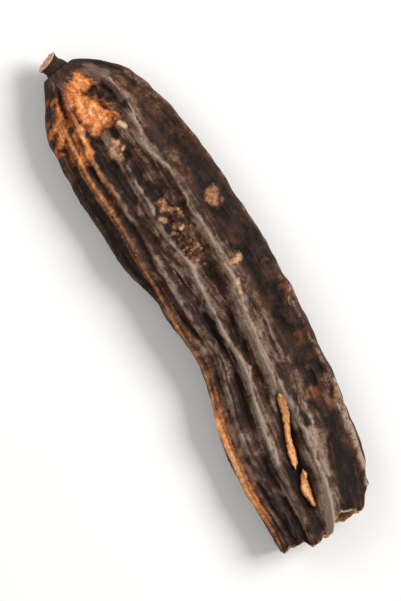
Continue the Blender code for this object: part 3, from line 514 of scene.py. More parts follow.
# The skin's colours, from the lowest layer up, as (base, weights, soft step, colours, colour base, colour weights). A
# base is a number or the name of a value. The first sum says where the layer lies. The step runs over it, from none at
# its first value to its third value at its second. The colours are a ramp over the second sum, or one colour.
SKIN_LAYERS = {
    "plain": (1.0, {}, None, [(0.17, "skin_darkest_and_painted_shade"), (0.37, "skin_dark"), (0.57, "skin_middle"), (0.80, "skin_light"),
                              (1.0, "skin_wear_and_sheen")], "tone", {}),
    # The brown is redder in places, mostly towards the back seam, and less so on crests with wear and painted sheen
    # and on lighter stretches.
    "browner": ("hue", {"back": 0.24, "wear_and_sheen_part": -0.5, "light": -0.08}, (0.46, 0.74, 0.85),
                [(0.17, "skin_darkest_and_painted_shade"), (0.52, "skin_back"), (0.85, "skin_tawny")], "tone", {}),
    "dust": (-0.8, {"dust": 1.0, "mottle": 0.9, "grain": 0.7}, (0.10, 1.00, 0.55), "dust"),
    "russet": (-1.1, {"russet": 1.0, "mottle": 2.2}, (0.35, 1.10, 0.65), "russet"),
    # Bare pulp runs from brown to pale orange, and scabs from ochre to whitish. A noise breaks up each one's edge.
    "bare": (-0.8, {"bare": 1.0, "mottle": 0.9, "grain": 0.7}, (0.18, 0.85, 0.93),
             [(0.0, "pulp_dark"), (0.28, "pulp_brown"), (0.54, "pulp"), (0.80, "pulp_light"), (1.0, "pulp_pale")],
             -1.95, {"bare": 0.85, "bright": 0.95, "mottle": 1.20, "crumb": 0.50, "grain": 0.70}),
    # The palest tops of the seam's bare lines are a painted highlight.
    "seam": (-0.40, {"seam": 1.0, "mottle": 0.50, "grain": 0.30}, (0.24, 0.74, 0.92),
             [(0.1, "seam_dark"), (0.45, "seam"), (0.75, "pulp_light"), (1.0, "pulp_pale")],
             -1.22, {"seam_light": 1.0, "seam": 0.35, "mottle": 1.0, "grain": 0.80}),
    "scab": (-0.7, {"scab": 1.0, "grain": 0.9, "crumb": 0.5}, (0.22, 1.0, 0.92),
             [(0.0, "skin_dark"), (0.30, "ochre"), (0.60, "tan"), (1.0, "pale")],
             -1.12, {"scab": 0.55, "paleness": 0.9, "grain": 0.9, "crumb": 0.5}),
    # Scurf is in separate grains, some of them missing, each with a tint of its own.
    "scurf": (0.30, {"scurf": 1.0, "cell": -1.3, "cell_green": -0.5}, (0.22, 0.60, 0.75),
              [(0.0, "seam_dark"), (0.45, "ochre"), (1.0, "tan")], "cell_red", {}),
    # The dark marks, partly dark spots and partly painted shade in holes and hollows, and the split, as painted shade,
    # are nearly black; the strands are pulp, and the torn lip is pale.
    "dark_spots_and_shade": (0.0, {"dark": 0.60}, None, "skin_darkest_and_painted_shade"),
    "split": ("split", {}, None, "skin_darkest_and_painted_shade"),
    "strand": ("strand", {}, (0.12, 0.60, 1.0), [(0.34, "pulp_brown"), (0.54, "strand"), (0.92, "pulp_pale")],
               -0.24, {"strand": 0.28, "grain": 0.7, "crumb": 0.4}),
    "lip": (-1.0, {"lip": 1.0, "mottle": 2.0}, (0.5, 1.1, 0.8), "pale"),
}
# The skin's roughness, as a base and what crests, bare pulp and grains add.
ROUGHNESS_BASE = 0.60
ROUGHNESS = {"broad": -0.14, "bare_cover": 0.22, "grain": 0.10}
# Fine bumps of the skin, as (noise, strength, height in mm).
SKIN_BUMPS = [("crumb", 0.5, 0.14), ("lines", 0.4, 0.02), ("grain", 0.5, 0.24), ("mottle", 0.5, 0.36)]

# The lights, as (place in m, size in m, power in W). The camera looks straight down on a point given in mm, and frames
# what lies at the pod's middle height.
LIGHTS = {"key": ((0.10, 0.55, 0.55), 0.36, 6.0), "fill": ((-0.45, -0.30, 0.50), 0.60, 1.6)}
WORLD_STRENGTH = 0.40
CAMERA_OVER = (1.27, -1.90)
FRAMED_HEIGHT = 5.0
SENSOR_HEIGHT = 24.0
CLIP_START = 0.01

# Steps round the table of the pod's section.
TABLE_STEPS = 4000


def linear(colour):
    """The linear RGBA values of an sRGB hex colour."""
    values = [int(colour[i:i + 2], 16) / 255.0 for i in (1, 3, 5)]
    return tuple(v / 12.92 if v <= 0.04045 else ((v + 0.055) / 1.055) ** 2.4 for v in values) + (1.0,)


def colour_property(name, description, colour):
    return bpy.props.FloatVectorProperty(name=name, description=description, subtype="COLOR", size=4, min=0.0,
                                         max=1.0, default=linear(colour))


def count_property(name, description, default, least):
    return bpy.props.IntProperty(name=name, description=description, default=default, min=least)


def length_property(name, description, default):
    return bpy.props.FloatProperty(name=name, description=description, default=default, unit="LENGTH")


class PodSettings(bpy.types.PropertyGroup):
    """Sizes and colours of the pod."""
    sides: count_property("Sides", "Faces round the pod", 288, 40)
    socket_rows: count_property("Socket rows", "Rows of faces in the stalk's socket", 6, 2)
    body_rows: count_property("Body rows", "Rows of faces along the skin", 288, 20)
    break_rows: count_property("Break rows", "Rows of faces across the torn face", 30, 4)
    chamber_rows: count_property("Chamber rows", "Rows of faces along the chamber's wall", 12, 3)
    floor_rows: count_property("Floor rows", "Rows of faces in the chamber's floor", 6, 2)
    crease_depth: length_property("Crease depth", "Depth of the drying wrinkles", 0.24 * MM)
    pit_depth: length_property("Pit depth", "Depth of the pits in the torn pulp", 0.55 * MM)
    # The darkest skin colour also stands for painted shade in hollows, holes and the split; the two lightest, on the
    # crests, partly stand for painted sheen.
    skin_darkest_and_painted_shade: colour_property("Skin, hollows", "Skin in the hollows and wrinkles", "#120904")
    skin_dark: colour_property("Skin, dark", "Skin between the folds", "#28150b")
    skin_middle: colour_property("Skin, middle", "Skin on the faces", "#462d22")
    skin_light: colour_property("Skin, crests", "Skin on the folds' crests", "#7c6555")
    skin_wear_and_sheen: colour_property("Skin, worn", "Worn skin on the sharpest crests", "#9a8475")
    skin_back: colour_property("Skin, brown", "Browner skin, mostly towards the back seam", "#472b19")
    skin_tawny: colour_property("Skin, tawny", "The lightest of the browner skin", "#8c6344")
    pulp_dark: colour_property("Pulp, dark", "Bare pulp in the shade", "#43200f")
    pulp_brown: colour_property("Pulp, brown", "Weathered bare pulp", "#8a4a24")
    pulp: colour_property("Pulp", "Bare pulp", "#bd6c38")
    pulp_light: colour_property("Pulp, fresh", "Freshly bared pulp", "#e69252")
    pulp_pale: colour_property("Pulp, pale", "The palest of the bare pulp", "#f3be92")
    seam_dark: colour_property("Seam, dark", "The darkest of the belly seam's bare lines", "#56331f")
    seam: colour_property("Seam", "The belly seam's bare lines", "#aa693c")
    dust: colour_property("Dust", "Greyish dust on the end by the stalk", "#8b7164")
    ochre: colour_property("Scabs, ochre", "The darkest of the scabs and the scurf", "#74492e")
    tan: colour_property("Scabs, tan", "Scabs and scurf", "#b8865c")
    pale: colour_property("Scabs, pale", "Whitish scabs and the skin's torn lip", "#d4b694")
    russet: colour_property("Russet spots", "Red-brown spots towards the back seam", "#7c4020")
    strand: colour_property("Strand", "The strands of pulp in the split", "#e6a264")
    lining: colour_property("Lining", "The seed chamber's lining", "#a8764a")


class StalkSettings(bpy.types.PropertyGroup):
    """Sizes and colours of the stalk stub."""
    sides: count_property("Sides", "Faces round the stalk", 96, 12)
    rows: count_property("Rows", "Rows of faces along the stalk", 90, 12)
    bark: colour_property("Bark", "The stalk's side", "#1f130c")
    wood: colour_property("Wood", "The stalk's broken end", "#e6b394")


class StageSettings(bpy.types.PropertyGroup):
    """The floor, the lights and the camera."""
    floor_size: length_property("Floor", "The floor's length and breadth", 3.0)
    floor_colour: colour_property("Floor colour", "The floor's colour", "#f1f0ee")
    camera_height: length_property("Camera height", "The camera's height over the floor", 0.9)
    view_height: length_property("View height", "What the picture's height shows", 0.0911)
    camera_turn: bpy.props.FloatProperty(name="Camera turn", description="How far the picture is turned",
                                         default=math.radians(59.2), subtype="ANGLE")


def smooth_step(low, high, value):
    share = np.clip((value - low) / (high - low), 0.0, 1.0)
    return share * share * (3.0 - 2.0 * share)


def along_path(points, place):
    """The value of a path of (place, value) points, with its corners rounded off."""
    places, values = np.array(points, float).T
    offsets = np.linspace(-PATH_ROUNDING, PATH_ROUNDING, 9)
    return np.mean([np.interp(place + offset, places, values) for offset in offsets], axis=0)


def rough(x, y, z=0.0):
    """Blender's smooth noise at each point, from -1 to 1."""
    x, y, z = np.broadcast_arrays(x, y, z)
    flat = [noise.noise(Vector(p)) for p in zip(x.ravel(), y.ravel(), z.ravel())]
    return np.array(flat).reshape(x.shape)


def section_table():
    """The unit section as (turn, across, up), with turn the share of the way round from the back edge."""
    angle = np.linspace(0.0, 2.0 * math.pi, TABLE_STEPS + 1)
    power = 2.0 / SECTION_SQUARENESS
    across = np.sign(np.cos(angle)) * np.abs(np.cos(angle)) ** power
    up = np.sign(np.sin(angle)) * np.abs(np.sin(angle)) ** power
    steps = np.hypot(np.diff(across) * HALF_BREADTH, np.diff(up) * HALF_THICKNESS)
    way = np.concatenate([[0.0], np.cumsum(steps)])
    return way / way[-1], across, up, way[-1]


TURN, ACROSS, UP, GIRTH = section_table()


def turn_at(across, upper=True):
    """The turn of a place across the upper or the lower face."""
    half = len(TURN) // 2 + 1
    if upper:
        return np.interp(-np.asarray(across), -ACROSS[:half], TURN[:half])
    return np.interp(across, ACROSS[half - 1:], TURN[half - 1:])


def gap_to(turn, path_turn):
    """How far round the pod a place lies from a path, in mm."""
    gap = turn - path_turn
    return (gap - np.round(gap)) * GIRTH


def bump(turn, path_turn, width):
    """A rounded ridge of height 1 that runs along a path, with its width in mm."""
    return np.exp(-((gap_to(turn, path_turn) / width) ** 2))


def round_the_pod(turn, along, length, breadth, seed=0.0):
    """Smooth noise on the skin, with features of about that length and breadth in mm, and no join."""
    angle = turn * 2.0 * math.pi
    reach = GIRTH / (2.0 * math.pi * breadth)
    return rough(along / length + seed, reach * np.cos(angle), reach * np.sin(angle) + seed)


def folds_on(folds, upper, turn, along):
    """The height in mm of the folds on the upper or the lower face."""
    total = np.zeros_like(turn)
    for height, belly_width, back_width, flatness, points in folds:
        start, end = points[0][0], points[-1][0]
        gap = gap_to(turn, turn_at(along_path(points, along), upper))
        width = np.where((gap > 0.0) == upper, belly_width, back_width)
        shown = smooth_step(start - FOLD_FADE, start + FOLD_FADE, along)
        if end < POD_LENGTH - FOLD_FADE:
            shown = shown * (1.0 - smooth_step(end - FOLD_FADE, end + FOLD_FADE, along))
        total += height * shown * np.exp(-((np.abs(gap) / width) ** flatness))
    return total


def half_breadth(along):
    grown = (1.0 - np.exp(-along / BREADTH_REACH)) ** BREADTH_POWER
    narrowed = np.clip((along - BREAK_TAPER_FROM) / (POD_LENGTH - BREAK_TAPER_FROM), 0.0, 1.5) ** 2
    return (TIP_HALF_BREADTH + (HALF_BREADTH - TIP_HALF_BREADTH) * grown) * (1.0 - BREAK_NARROWING * narrowed)


def half_thickness(along):
    grown = (1.0 - np.exp(-along / THICKNESS_REACH)) ** THICKNESS_POWER
    uneven = 1.0 + THICKNESS_CHANGE * rough(along / THICKNESS_CHANGE_LENGTH, THICKNESS_SEED)
    return (TIP_HALF_THICKNESS + (HALF_THICKNESS - TIP_HALF_THICKNESS) * grown) * uneven


def middle_line(along):
    """The middle line's x, y, z and its heading in plan."""
    start = math.asin((STALK_END_X - BOW_TOP_X) / BOW_RADIUS)
    angle = start + along / BOW_RADIUS
    x = BOW_TOP_X + BOW_RADIUS * np.sin(angle)
    y = BOW_TOP_Y - BOW_RADIUS * (1.0 - np.cos(angle)) - TIP_SHIFT * np.exp(-along / TIP_SHIFT_REACH)
    phase = 2.0 * math.pi * (along / POD_LENGTH - 0.5) / ARCH_SPACING
    z = LOW_HEIGHT + ARCH_HEIGHT * (1.0 + np.cos(phase)) / 2.0
    return x, y, z, -angle


def tear(side, up):
    """How far the torn end reaches past its mean line, at a place in the section."""
    inner, outer = TONGUE_HALF_WIDTH - TONGUE_EDGE, TONGUE_HALF_WIDTH + TONGUE_EDGE
    tongue = TONGUE_LENGTH * smooth_step(outer, inner, np.abs(side - TONGUE_Y))
    tongue = tongue * smooth_step(TONGUE_LOW, TONGUE_HIGH, up)
    step = STEP_DEPTH * np.exp(-((side - STEP_Y) / STEP_HALF_WIDTH) ** 2) * smooth_step(-1.0, 1.0, up)
    torn = rough(side / TEAR_GRAIN, up / TEAR_GRAIN, TEAR_SEED)
    torn = torn + TEAR_FINE_SHARE * rough(side / TEAR_FINE_GRAIN, up / TEAR_FINE_GRAIN, TEAR_FINE_SEED)
    corner = CORNER_DEPTH * smooth_step(CORNER_FROM, CORNER_TO, side)
    return tongue - step - corner - TEAR_SLANT * side + TEAR_ROUGHNESS * torn


def to_part(along, side, up):
    """A place in a section's plane, brought into the part's frame, in mm."""
    x, y, z, heading = middle_line(along)
    twist = TWIST * (along / POD_LENGTH - 0.5)
    side, up = side * np.cos(twist) - up * np.sin(twist), side * np.sin(twist) + up * np.cos(twist)
    return np.stack([x - side * np.sin(heading), y + side * np.cos(heading), z + up], axis=-1)


def rest_on_surface(points):
    """Lowers the underside a little at the rest spots and cuts it flat at the surface."""
    x, y, z = points.T
    for spot_x, spot_y, half_long, half_broad in REST_SPOTS:
        near = np.exp(-(((x - spot_x) / half_long) ** 2 + ((y - spot_y) / half_broad) ** 2))
        z = z - REST_SPOT_DROP * near * (z < REST_SPOT_TOP)
    return np.stack([x, y, np.maximum(z, 0.0)], axis=-1)


def sphere_rows(mesh, sides, rows):
    """For each vertex of a unit sphere, its row from the top pole and its share of a turn."""
    co = np.array([vertex.co for vertex in mesh.verts])
    row = np.arccos(np.clip(co[:, 2], -1.0, 1.0)) / math.pi * rows
    turn = np.round(np.arctan2(co[:, 1], co[:, 0]) / (2.0 * math.pi) * sides) / sides % 1.0
    return np.round(row), turn


def stroke_gap(points, turn, along):
    """How far each place on the skin lies from a line through some points, in mm."""
    nearest = np.full_like(turn, np.inf)
    for (start_along, start_turn), (end_along, end_turn) in zip(points[:-1], points[1:]):
        length, breadth = end_along - start_along, (end_turn - start_turn) * GIRTH
        gap = gap_to(turn, start_turn)
        share = ((along - start_along) * length + gap * breadth) / (length**2 + breadth**2)
        share = np.clip(share, 0.0, 1.0)
        nearest = np.minimum(nearest, np.hypot(along - start_along - share * length, gap - share * breadth))
    return nearest


def patch(share, half_width, points, turn, along, fray):
    """The mark of a stroke with a ragged edge: a half on the edge of a full one."""
    inside = (half_width - stroke_gap(points, turn, along)) / min(half_width, EDGE_SOFTNESS)
    return share * np.clip(0.5 + EDGE_STEEPNESS * (inside + fray), 0.0, 1.0)


def shaded_patches(strokes, turn, along, fray):
    """The marks for the cover and for the shade of strokes that have a shade of their own."""
    cover, weight, total = np.zeros((3,) + turn.shape)
    for share, half_width, shade, points in strokes:
        mark = patch(share, half_width, points, turn, along, fray)
        cover = np.maximum(cover, mark)
        weight += mark**3
        total += shade * mark**3
    return cover, total / np.maximum(weight, 1e-6)


def lines(strokes, turn, along, narrowing=1.0):
    """A mark for soft lines."""
    mark = np.zeros_like(turn)
    for share, half_width, points in strokes:
        gap = stroke_gap(points, turn, along) / (half_width * narrowing)
        mark = np.maximum(mark, share * np.exp(-(gap**2)))
    return mark


def skin_marks(turn, along):
    """The marks on the skin that its material reads, each from 0 to 1."""
    across = np.interp(turn, TURN, ACROSS)
    upper = smooth_step(*UPPER_START, turn) * (1.0 - smooth_step(*UPPER_END, turn))
    fray = sum(share * round_the_pod(turn, along, *field) for share, field in EDGE_FRAY)
    stray = STROKE_WANDER * round_the_pod(turn, along, *WANDER_ROUND_NOISE)
    moved_turn = turn + stray / GIRTH
    moved_along = along + STROKE_WANDER * round_the_pod(turn, along, *WANDER_ALONG_NOISE)
    marks = {name: np.max([patch(*stroke, moved_turn, moved_along, fray) for stroke in strokes], axis=0)
             for name, strokes in (("scurf", SCURF), ("russet", RUSSET))}
    marks["dust"] = lines(DUST, moved_turn, moved_along)
    marks["worn"] = lines(WEAR_AND_SHEEN, turn + WEAR_AND_SHEEN_WANDER * stray / GIRTH, along, WEAR_AND_SHEEN_NARROWING)
    marks["light"] = lines(LIGHTER_SKIN_AND_PAINTED_LIGHT, moved_turn, moved_along)
    marks["dark"] = lines(DARK_AND_PAINTED_SHADE, moved_turn, moved_along)
    marks["bare"], marks["bright"] = shaded_patches(BARE_PULP, moved_turn, moved_along, fray)
    marks["scab"], marks["paleness"] = shaded_patches(SCABS, moved_turn, moved_along, fray)

    marks["seam"], marks["seam_light"] = np.zeros((2,) + turn.shape)
    for path, offset, width, shares, brightness in SEAM_LINES:
        line = bump(turn, along_path(path, along) + offset, width) * np.interp(along, *np.transpose(shares))
        marks["seam_light"] = np.where(line > marks["seam"], np.interp(along, *np.transpose(brightness)),
                                       marks["seam_light"])
        marks["seam"] = np.maximum(marks["seam"], line)
    marks["back"] = upper * smooth_step(*BACK_ACROSS, across)
    marks["lip"] = smooth_step(POD_LENGTH - LIP_LENGTH, POD_LENGTH - LIP_FULL * LIP_LENGTH, along + LIP_FRAY * fray)
    return marks


def split_form(turn, along):
    """The split's share of its depth and the strands' share of their height, from 0 to 1."""
    gap = np.abs(gap_to(turn, turn_at(along_path(SPLIT, along))))
    start, end = SPLIT[0][0], SPLIT[-1][0]
    shown = smooth_step(start, start + SPLIT_END_LENGTH, along)
    shown = shown * (1.0 - smooth_step(end - SPLIT_END_LENGTH, end, along))
    split = shown * np.exp(-((gap / np.interp(along, *np.transpose(SPLIT_WIDTHS))) ** 2))
    strand = np.zeros_like(turn)
    for points in STRANDS:
        places, turns, widths = np.transpose(points)
        uneven = 1.0 + STRAND_EDGE_UNEVENNESS * round_the_pod(turn, along, *STRAND_EDGE_NOISE)
        wide = np.interp(along, places, widths) * uneven
        gap = gap_to(turn, np.interp(along, places, turns)) / wide
        inside = (along > places[0]) & (along < places[-1])
        strand = np.maximum(strand, inside * np.sqrt(np.clip(1.0 - gap**2, 0.0, 1.0)))
    return split, strand


def skin_relief(settings, turn, along, marks):
    """How far the skin stands out from the pod's plain section, in mm."""
    across = np.interp(turn, TURN, ACROSS)
    bent = turn + MEANDER * round_the_pod(turn, along, *MEANDER_NOISE)
    uneven = 1.0 + RIB_UNEVENNESS * round_the_pod(turn, along, *RIB_NOISE)
    inner = np.interp(along, *np.transpose(INNER_RIB_HEIGHT))
    ribs = bump(turn, along_path(OUTER_RIB, along), SEAM_RIB_WIDTH)
    ribs = ribs + inner * bump(turn, along_path(INNER_RIB, along), SEAM_RIB_WIDTH)
    relief = folds_on(UPPER_FOLDS, True, bent, along) + folds_on(LOWER_FOLDS, False, bent, along)
    relief += SEAM_RIB_HEIGHT * ribs * uneven
    relief -= SEAM_GROOVE_DEPTH * bump(turn, along_path(SEAM_GROOVE, along), SEAM_GROOVE_WIDTH)
    relief += BACK_RIB_HEIGHT * bump(turn, along_path(BACK_SEAM, along), BACK_RIB_WIDTH) * uneven

    number = np.clip(np.round((along - SEED_FIRST) / SEED_SPACING), 0, (SEED_LAST - SEED_FIRST) // SEED_SPACING)
    centre = SEED_FIRST + number * SEED_SPACING
    distance = ((along - centre) / SEED_HALF_LENGTH) ** 2 + (across / SEED_HALF_BREADTH) ** 2
    relief += SEED_SWELLING * np.exp(-distance)
    relief += WAVE_HEIGHT * round_the_pod(turn, along, WAVE_LENGTH, WAVE_BREADTH)

    change = WRINKLE_MEAN + WRINKLE_CHANGE * round_the_pod(turn, along, *WRINKLE_NOISE)
    depth = settings.crease_depth / MM * change * (1.0 - BACK_SMOOTHNESS * smooth_step(*BACK_SMOOTH_ACROSS, across))
    for (height, field), shown in ((BACK_LUMPS, smooth_step(*BACK_LUMPS_ACROSS, across)), (SMALL_LUMPS, 1.0)):
        relief += height * round_the_pod(turn, along, *field) * shown
    for length, breadth, line, share, seed in WRINKLES:
        wrinkle = np.exp(-((round_the_pod(bent, along, length, breadth, seed) / line) ** 2))
        relief += depth * share * wrinkle
    shown = np.maximum(1.0 - smooth_step(*CRINKLE_END, along), smooth_step(*FLANK_ACROSS, across) * FLANK_CRINKLES)
    relief += CRINKLE_HEIGHT * shown * round_the_pod(turn, along, *CRINKLE_NOISE)

    grains = round_the_pod(turn, along, *GRAIN_NOISE)
    lumps = round_the_pod(turn, along, *LUMP_NOISE)
    relief += SCURF_HEIGHT * smooth_step(*MARK_EDGE, marks["scurf"]) * np.clip(grains, *SCURF_GRAINS)
    relief += smooth_step(*SCAB_EDGE, marks["scab"]) * (SCAB_HEIGHT + SCAB_HEIGHT * lumps)
    relief -= HOLE_DEPTH * marks["dark"]
    relief += WEAR_AND_SHEEN_HEIGHT * marks["worn"]
    on_face = smooth_step(*MARK_EDGE, marks["bare"]) * smooth_step(*PULP_FACE_ACROSS, across)
    relief += on_face * (PULP_GRAIN_HEIGHT * grains + PULP_LUMP_HEIGHT * lumps - PULP_DEPTH)
    relief *= smooth_step(0.0, RELIEF_START, along)
    strand = marks["strand"] * (1.0 + STRAND_UNEVENNESS * round_the_pod(turn, along, *STRAND_NOISE))
    return relief + STRAND_HEIGHT * strand - SPLIT_DEPTH * marks["split"]


def stand_out(settings, row, turn, relief, rows, sides):
    """How far the relief stands out over its mean within so many rows and sides each way, in mm."""
    side = np.round(turn * settings.sides).astype(int) % settings.sides
    row = row.astype(int)
    grid = np.zeros((row.max() + 1, settings.sides))
    grid[row, side] = relief
    places = np.arange(len(grid))
    mean = sum(np.take(grid, places + k, axis=0, mode="clip") for k in range(-rows, rows + 1)) / (2 * rows + 1)
    mean = sum(np.roll(mean, k, axis=1) for k in range(-sides, sides + 1)) / (2 * sides + 1)
    return relief - mean[row, side]


def pits(x, y, size):
    """How deep a place lies in a field of round pits of about that size in mm, from 0 to 1."""
    distance = [noise.voronoi(Vector((a, b, 0.0)) / size)[0][0] for a, b in zip(x, y)]
    return np.clip(1.0 - np.array(distance) / PIT_REACH, 0.0, 1.0)


def pod_surface(settings, row, turn):
    """The pod's points in mm, its marks, and each point's place on the skin, for a row and a turn round the pod."""
    across = np.interp(turn, TURN, ACROSS)
    up = np.interp(turn, TURN, UP)
    angle = turn * 2.0 * math.pi
    body_start = settings.socket_rows
    break_start = body_start + settings.body_rows
    chamber_start = break_start + settings.break_rows
    floor_start = chamber_start + settings.chamber_rows

    share = np.clip((row - body_start) / settings.body_rows, 0.0, 1.0)
    eased = (np.hypot(share, FINE_START) - FINE_START) / (math.hypot(1.0, FINE_START) - FINE_START)
    along = POD_LENGTH * eased

    thickness = half_thickness(along)
    slope = 1.0 - (BACK_SLOPE * smooth_step(BACK_SLOPE_FROM, 1.0, across)
                   * smooth_step(0.0, BACK_SLOPE_REACH, along))
    scale_up = thickness * np.where(up > 0.0, slope, 0.5 + 0.5 * slope)
    breadth = half_breadth(along)
    normal_side = np.sign(across) * np.abs(across) ** (SECTION_SQUARENESS - 1.0) / breadth
    normal_up = np.sign(up) * np.abs(up) ** (SECTION_SQUARENESS - 1.0) / scale_up
    length = np.hypot(normal_side, normal_up) + 1e-9
    marks = skin_marks(turn, along)
    marks["split"], marks["strand"] = split_form(turn, along)
    relief = skin_relief(settings, turn, along, marks)
    for name, (rows, sides, crest) in CRESTS.items():
        marks[name] = np.clip(stand_out(settings, row, turn, relief, rows, sides) / crest, -1.0, 1.0)
    side = across * breadth + relief * normal_side / length
    side = side + along_path(BELLY_EDGE, along) * smooth_step(BELLY_EDGE_FROM, BELLY_EDGE_TO, across)
    height = up * scale_up + relief * normal_up / length
    along = along + tear(side, height) * smooth_step(POD_LENGTH - TEAR_BLEND, POD_LENGTH, along)

    # The torn face runs in from a lip of skin over sunken, pitted pulp to the rim of the chamber's mouth.
    torn = row > break_start
    inward = np.clip((row - break_start) / settings.break_rows, 0.0, 1.0)
    face_side = side + (CHAMBER_Y + CHAMBER_HALF_BREADTH * np.cos(angle) - side) * inward
    face_up = height + (CHAMBER_HALF_HEIGHT * np.sin(angle) - height) * inward
    face_along = POD_LENGTH + tear(face_side, face_up)
    pulp = smooth_step(*PULP_START, inward) * (1.0 - smooth_step(*PULP_END, inward))
    pit = np.zeros_like(turn)
    pit[torn] = pits(face_side[torn], face_up[torn], PIT_SIZE)
    pit[torn] += SMALL_PIT_SHARE * pits(face_up[torn], face_side[torn], SMALL_PIT_SIZE)
    marks["pore"] = np.clip(pit, 0.0, 1.0) * pulp
    marks["rim"] = smooth_step(*RIM_START, inward) * torn
    face_along = face_along - pulp * PULP_SUNK - settings.pit_depth / MM * marks["pore"]
    face_along = face_along + CHAMBER_RIM * np.exp(-(((inward - RIM_MIDDLE) / RIM_WIDTH) ** 2))

    # The chamber's wall goes back into the pod, and its floor closes on the middle.
    deep = np.clip((row - chamber_start) / settings.chamber_rows, 0.0, 1.0)
    closing = 1.0 - np.clip((row - floor_start) / settings.floor_rows, 0.0, 1.0)
    face_along = face_along - CHAMBER_DEPTH * deep
    face_along = face_along - CHAMBER_FLOOR_DEPTH * np.sqrt(np.clip(1.0 - closing**2, 0.0, 1.0))
    closing = closing * (1.0 - CHAMBER_NARROWING * deep)
    face_side = np.where(row > chamber_start, CHAMBER_Y + (face_side - CHAMBER_Y) * closing, face_side)
    face_up = np.where(row > chamber_start, face_up * closing, face_up)

    along = np.where(torn, face_along, along)
    points = to_part(along, np.where(torn, face_side, side), np.where(torn, face_up, height))

    # The stalk's socket is a bowl in the blunt end.
    bowl = np.clip(row / settings.socket_rows, 0.0, 1.0) * math.pi / 2.0
    socket = to_part(0.0, SOCKET_RADIUS * np.sin(bowl) * np.cos(angle), SOCKET_RADIUS * np.sin(bowl) * np.sin(angle))
    socket = socket + np.stack([SOCKET_DEPTH * np.cos(bowl), 0.0 * bowl, 0.0 * bowl], axis=-1)
    points = np.where((row < body_start)[:, None], socket, points)
    reach = GIRTH / (2.0 * math.pi)
    place = np.stack([along, reach * np.cos(angle), reach * np.sin(angle)], axis=-1)
    return rest_on_surface(points), marks, place


def finish_piece(name, mesh, points, marks, place, materials):
    """Makes an object of a bmesh at its points, with its marks and skin places as attributes."""
    for vertex, point in zip(mesh.verts, points):
        vertex.co = Vector(point) * MM
    mesh.normal_update()
    bmesh.ops.recalc_face_normals(mesh, faces=mesh.faces)
    data = bpy.data.meshes.new(name)
    mesh.to_mesh(data)
    mesh.free()
    for mark, values in marks.items():
        data.attributes.new(mark, "FLOAT", "POINT").data.foreach_set("value", values.astype(np.float32))
    data.attributes.new("place", "FLOAT_VECTOR", "POINT").data.foreach_set("vector", place.astype(np.float32).ravel())
    for material in materials:
        data.materials.append(material)
    data.shade_smooth()
    obj = bpy.data.objects.new(name, data)
    bpy.context.scene.collection.objects.link(obj)
    return obj


def add_node(tree, kind, inputs=None, stops=None, **settings):
    """Adds a node with its settings, its inputs' values or links, and a ramp's (place, colour) stops."""
    node = tree.nodes.new(kind)
    for name, value in settings.items():
        setattr(node, name, value)
    for name, value in (inputs or {}).items():
        if isinstance(value, bpy.types.NodeSocket):
            tree.links.new(value, node.inputs[name])
        else:
            node.inputs[name].default_value = value
    if stops:
        ramp = node.color_ramp
        while len(ramp.elements) < len(stops):
            ramp.elements.new(0.5)
        for element, (place, colour) in zip(ramp.elements, stops):
            element.position = place
            element.color = colour
    return node


def new_material(name):
    """A material with an empty node tree, its Principled shader and its output, joined."""
    material = bpy.data.materials.new(name)
    material.use_nodes = True
    tree = material.node_tree
    tree.nodes.clear()
    shader = add_node(tree, "ShaderNodeBsdfPrincipled")
    add_node(tree, "ShaderNodeOutputMaterial", {"Surface": shader.outputs["BSDF"]})
    return material, tree, shader


def weighed(tree, base, parts):
    """The sum of a base value and each source times its weight."""
    for source, weight in parts:
        base = add_node(tree, "ShaderNodeMath", {0: source, 1: weight, 2: base}, operation="MULTIPLY_ADD").outputs[0]
    return base


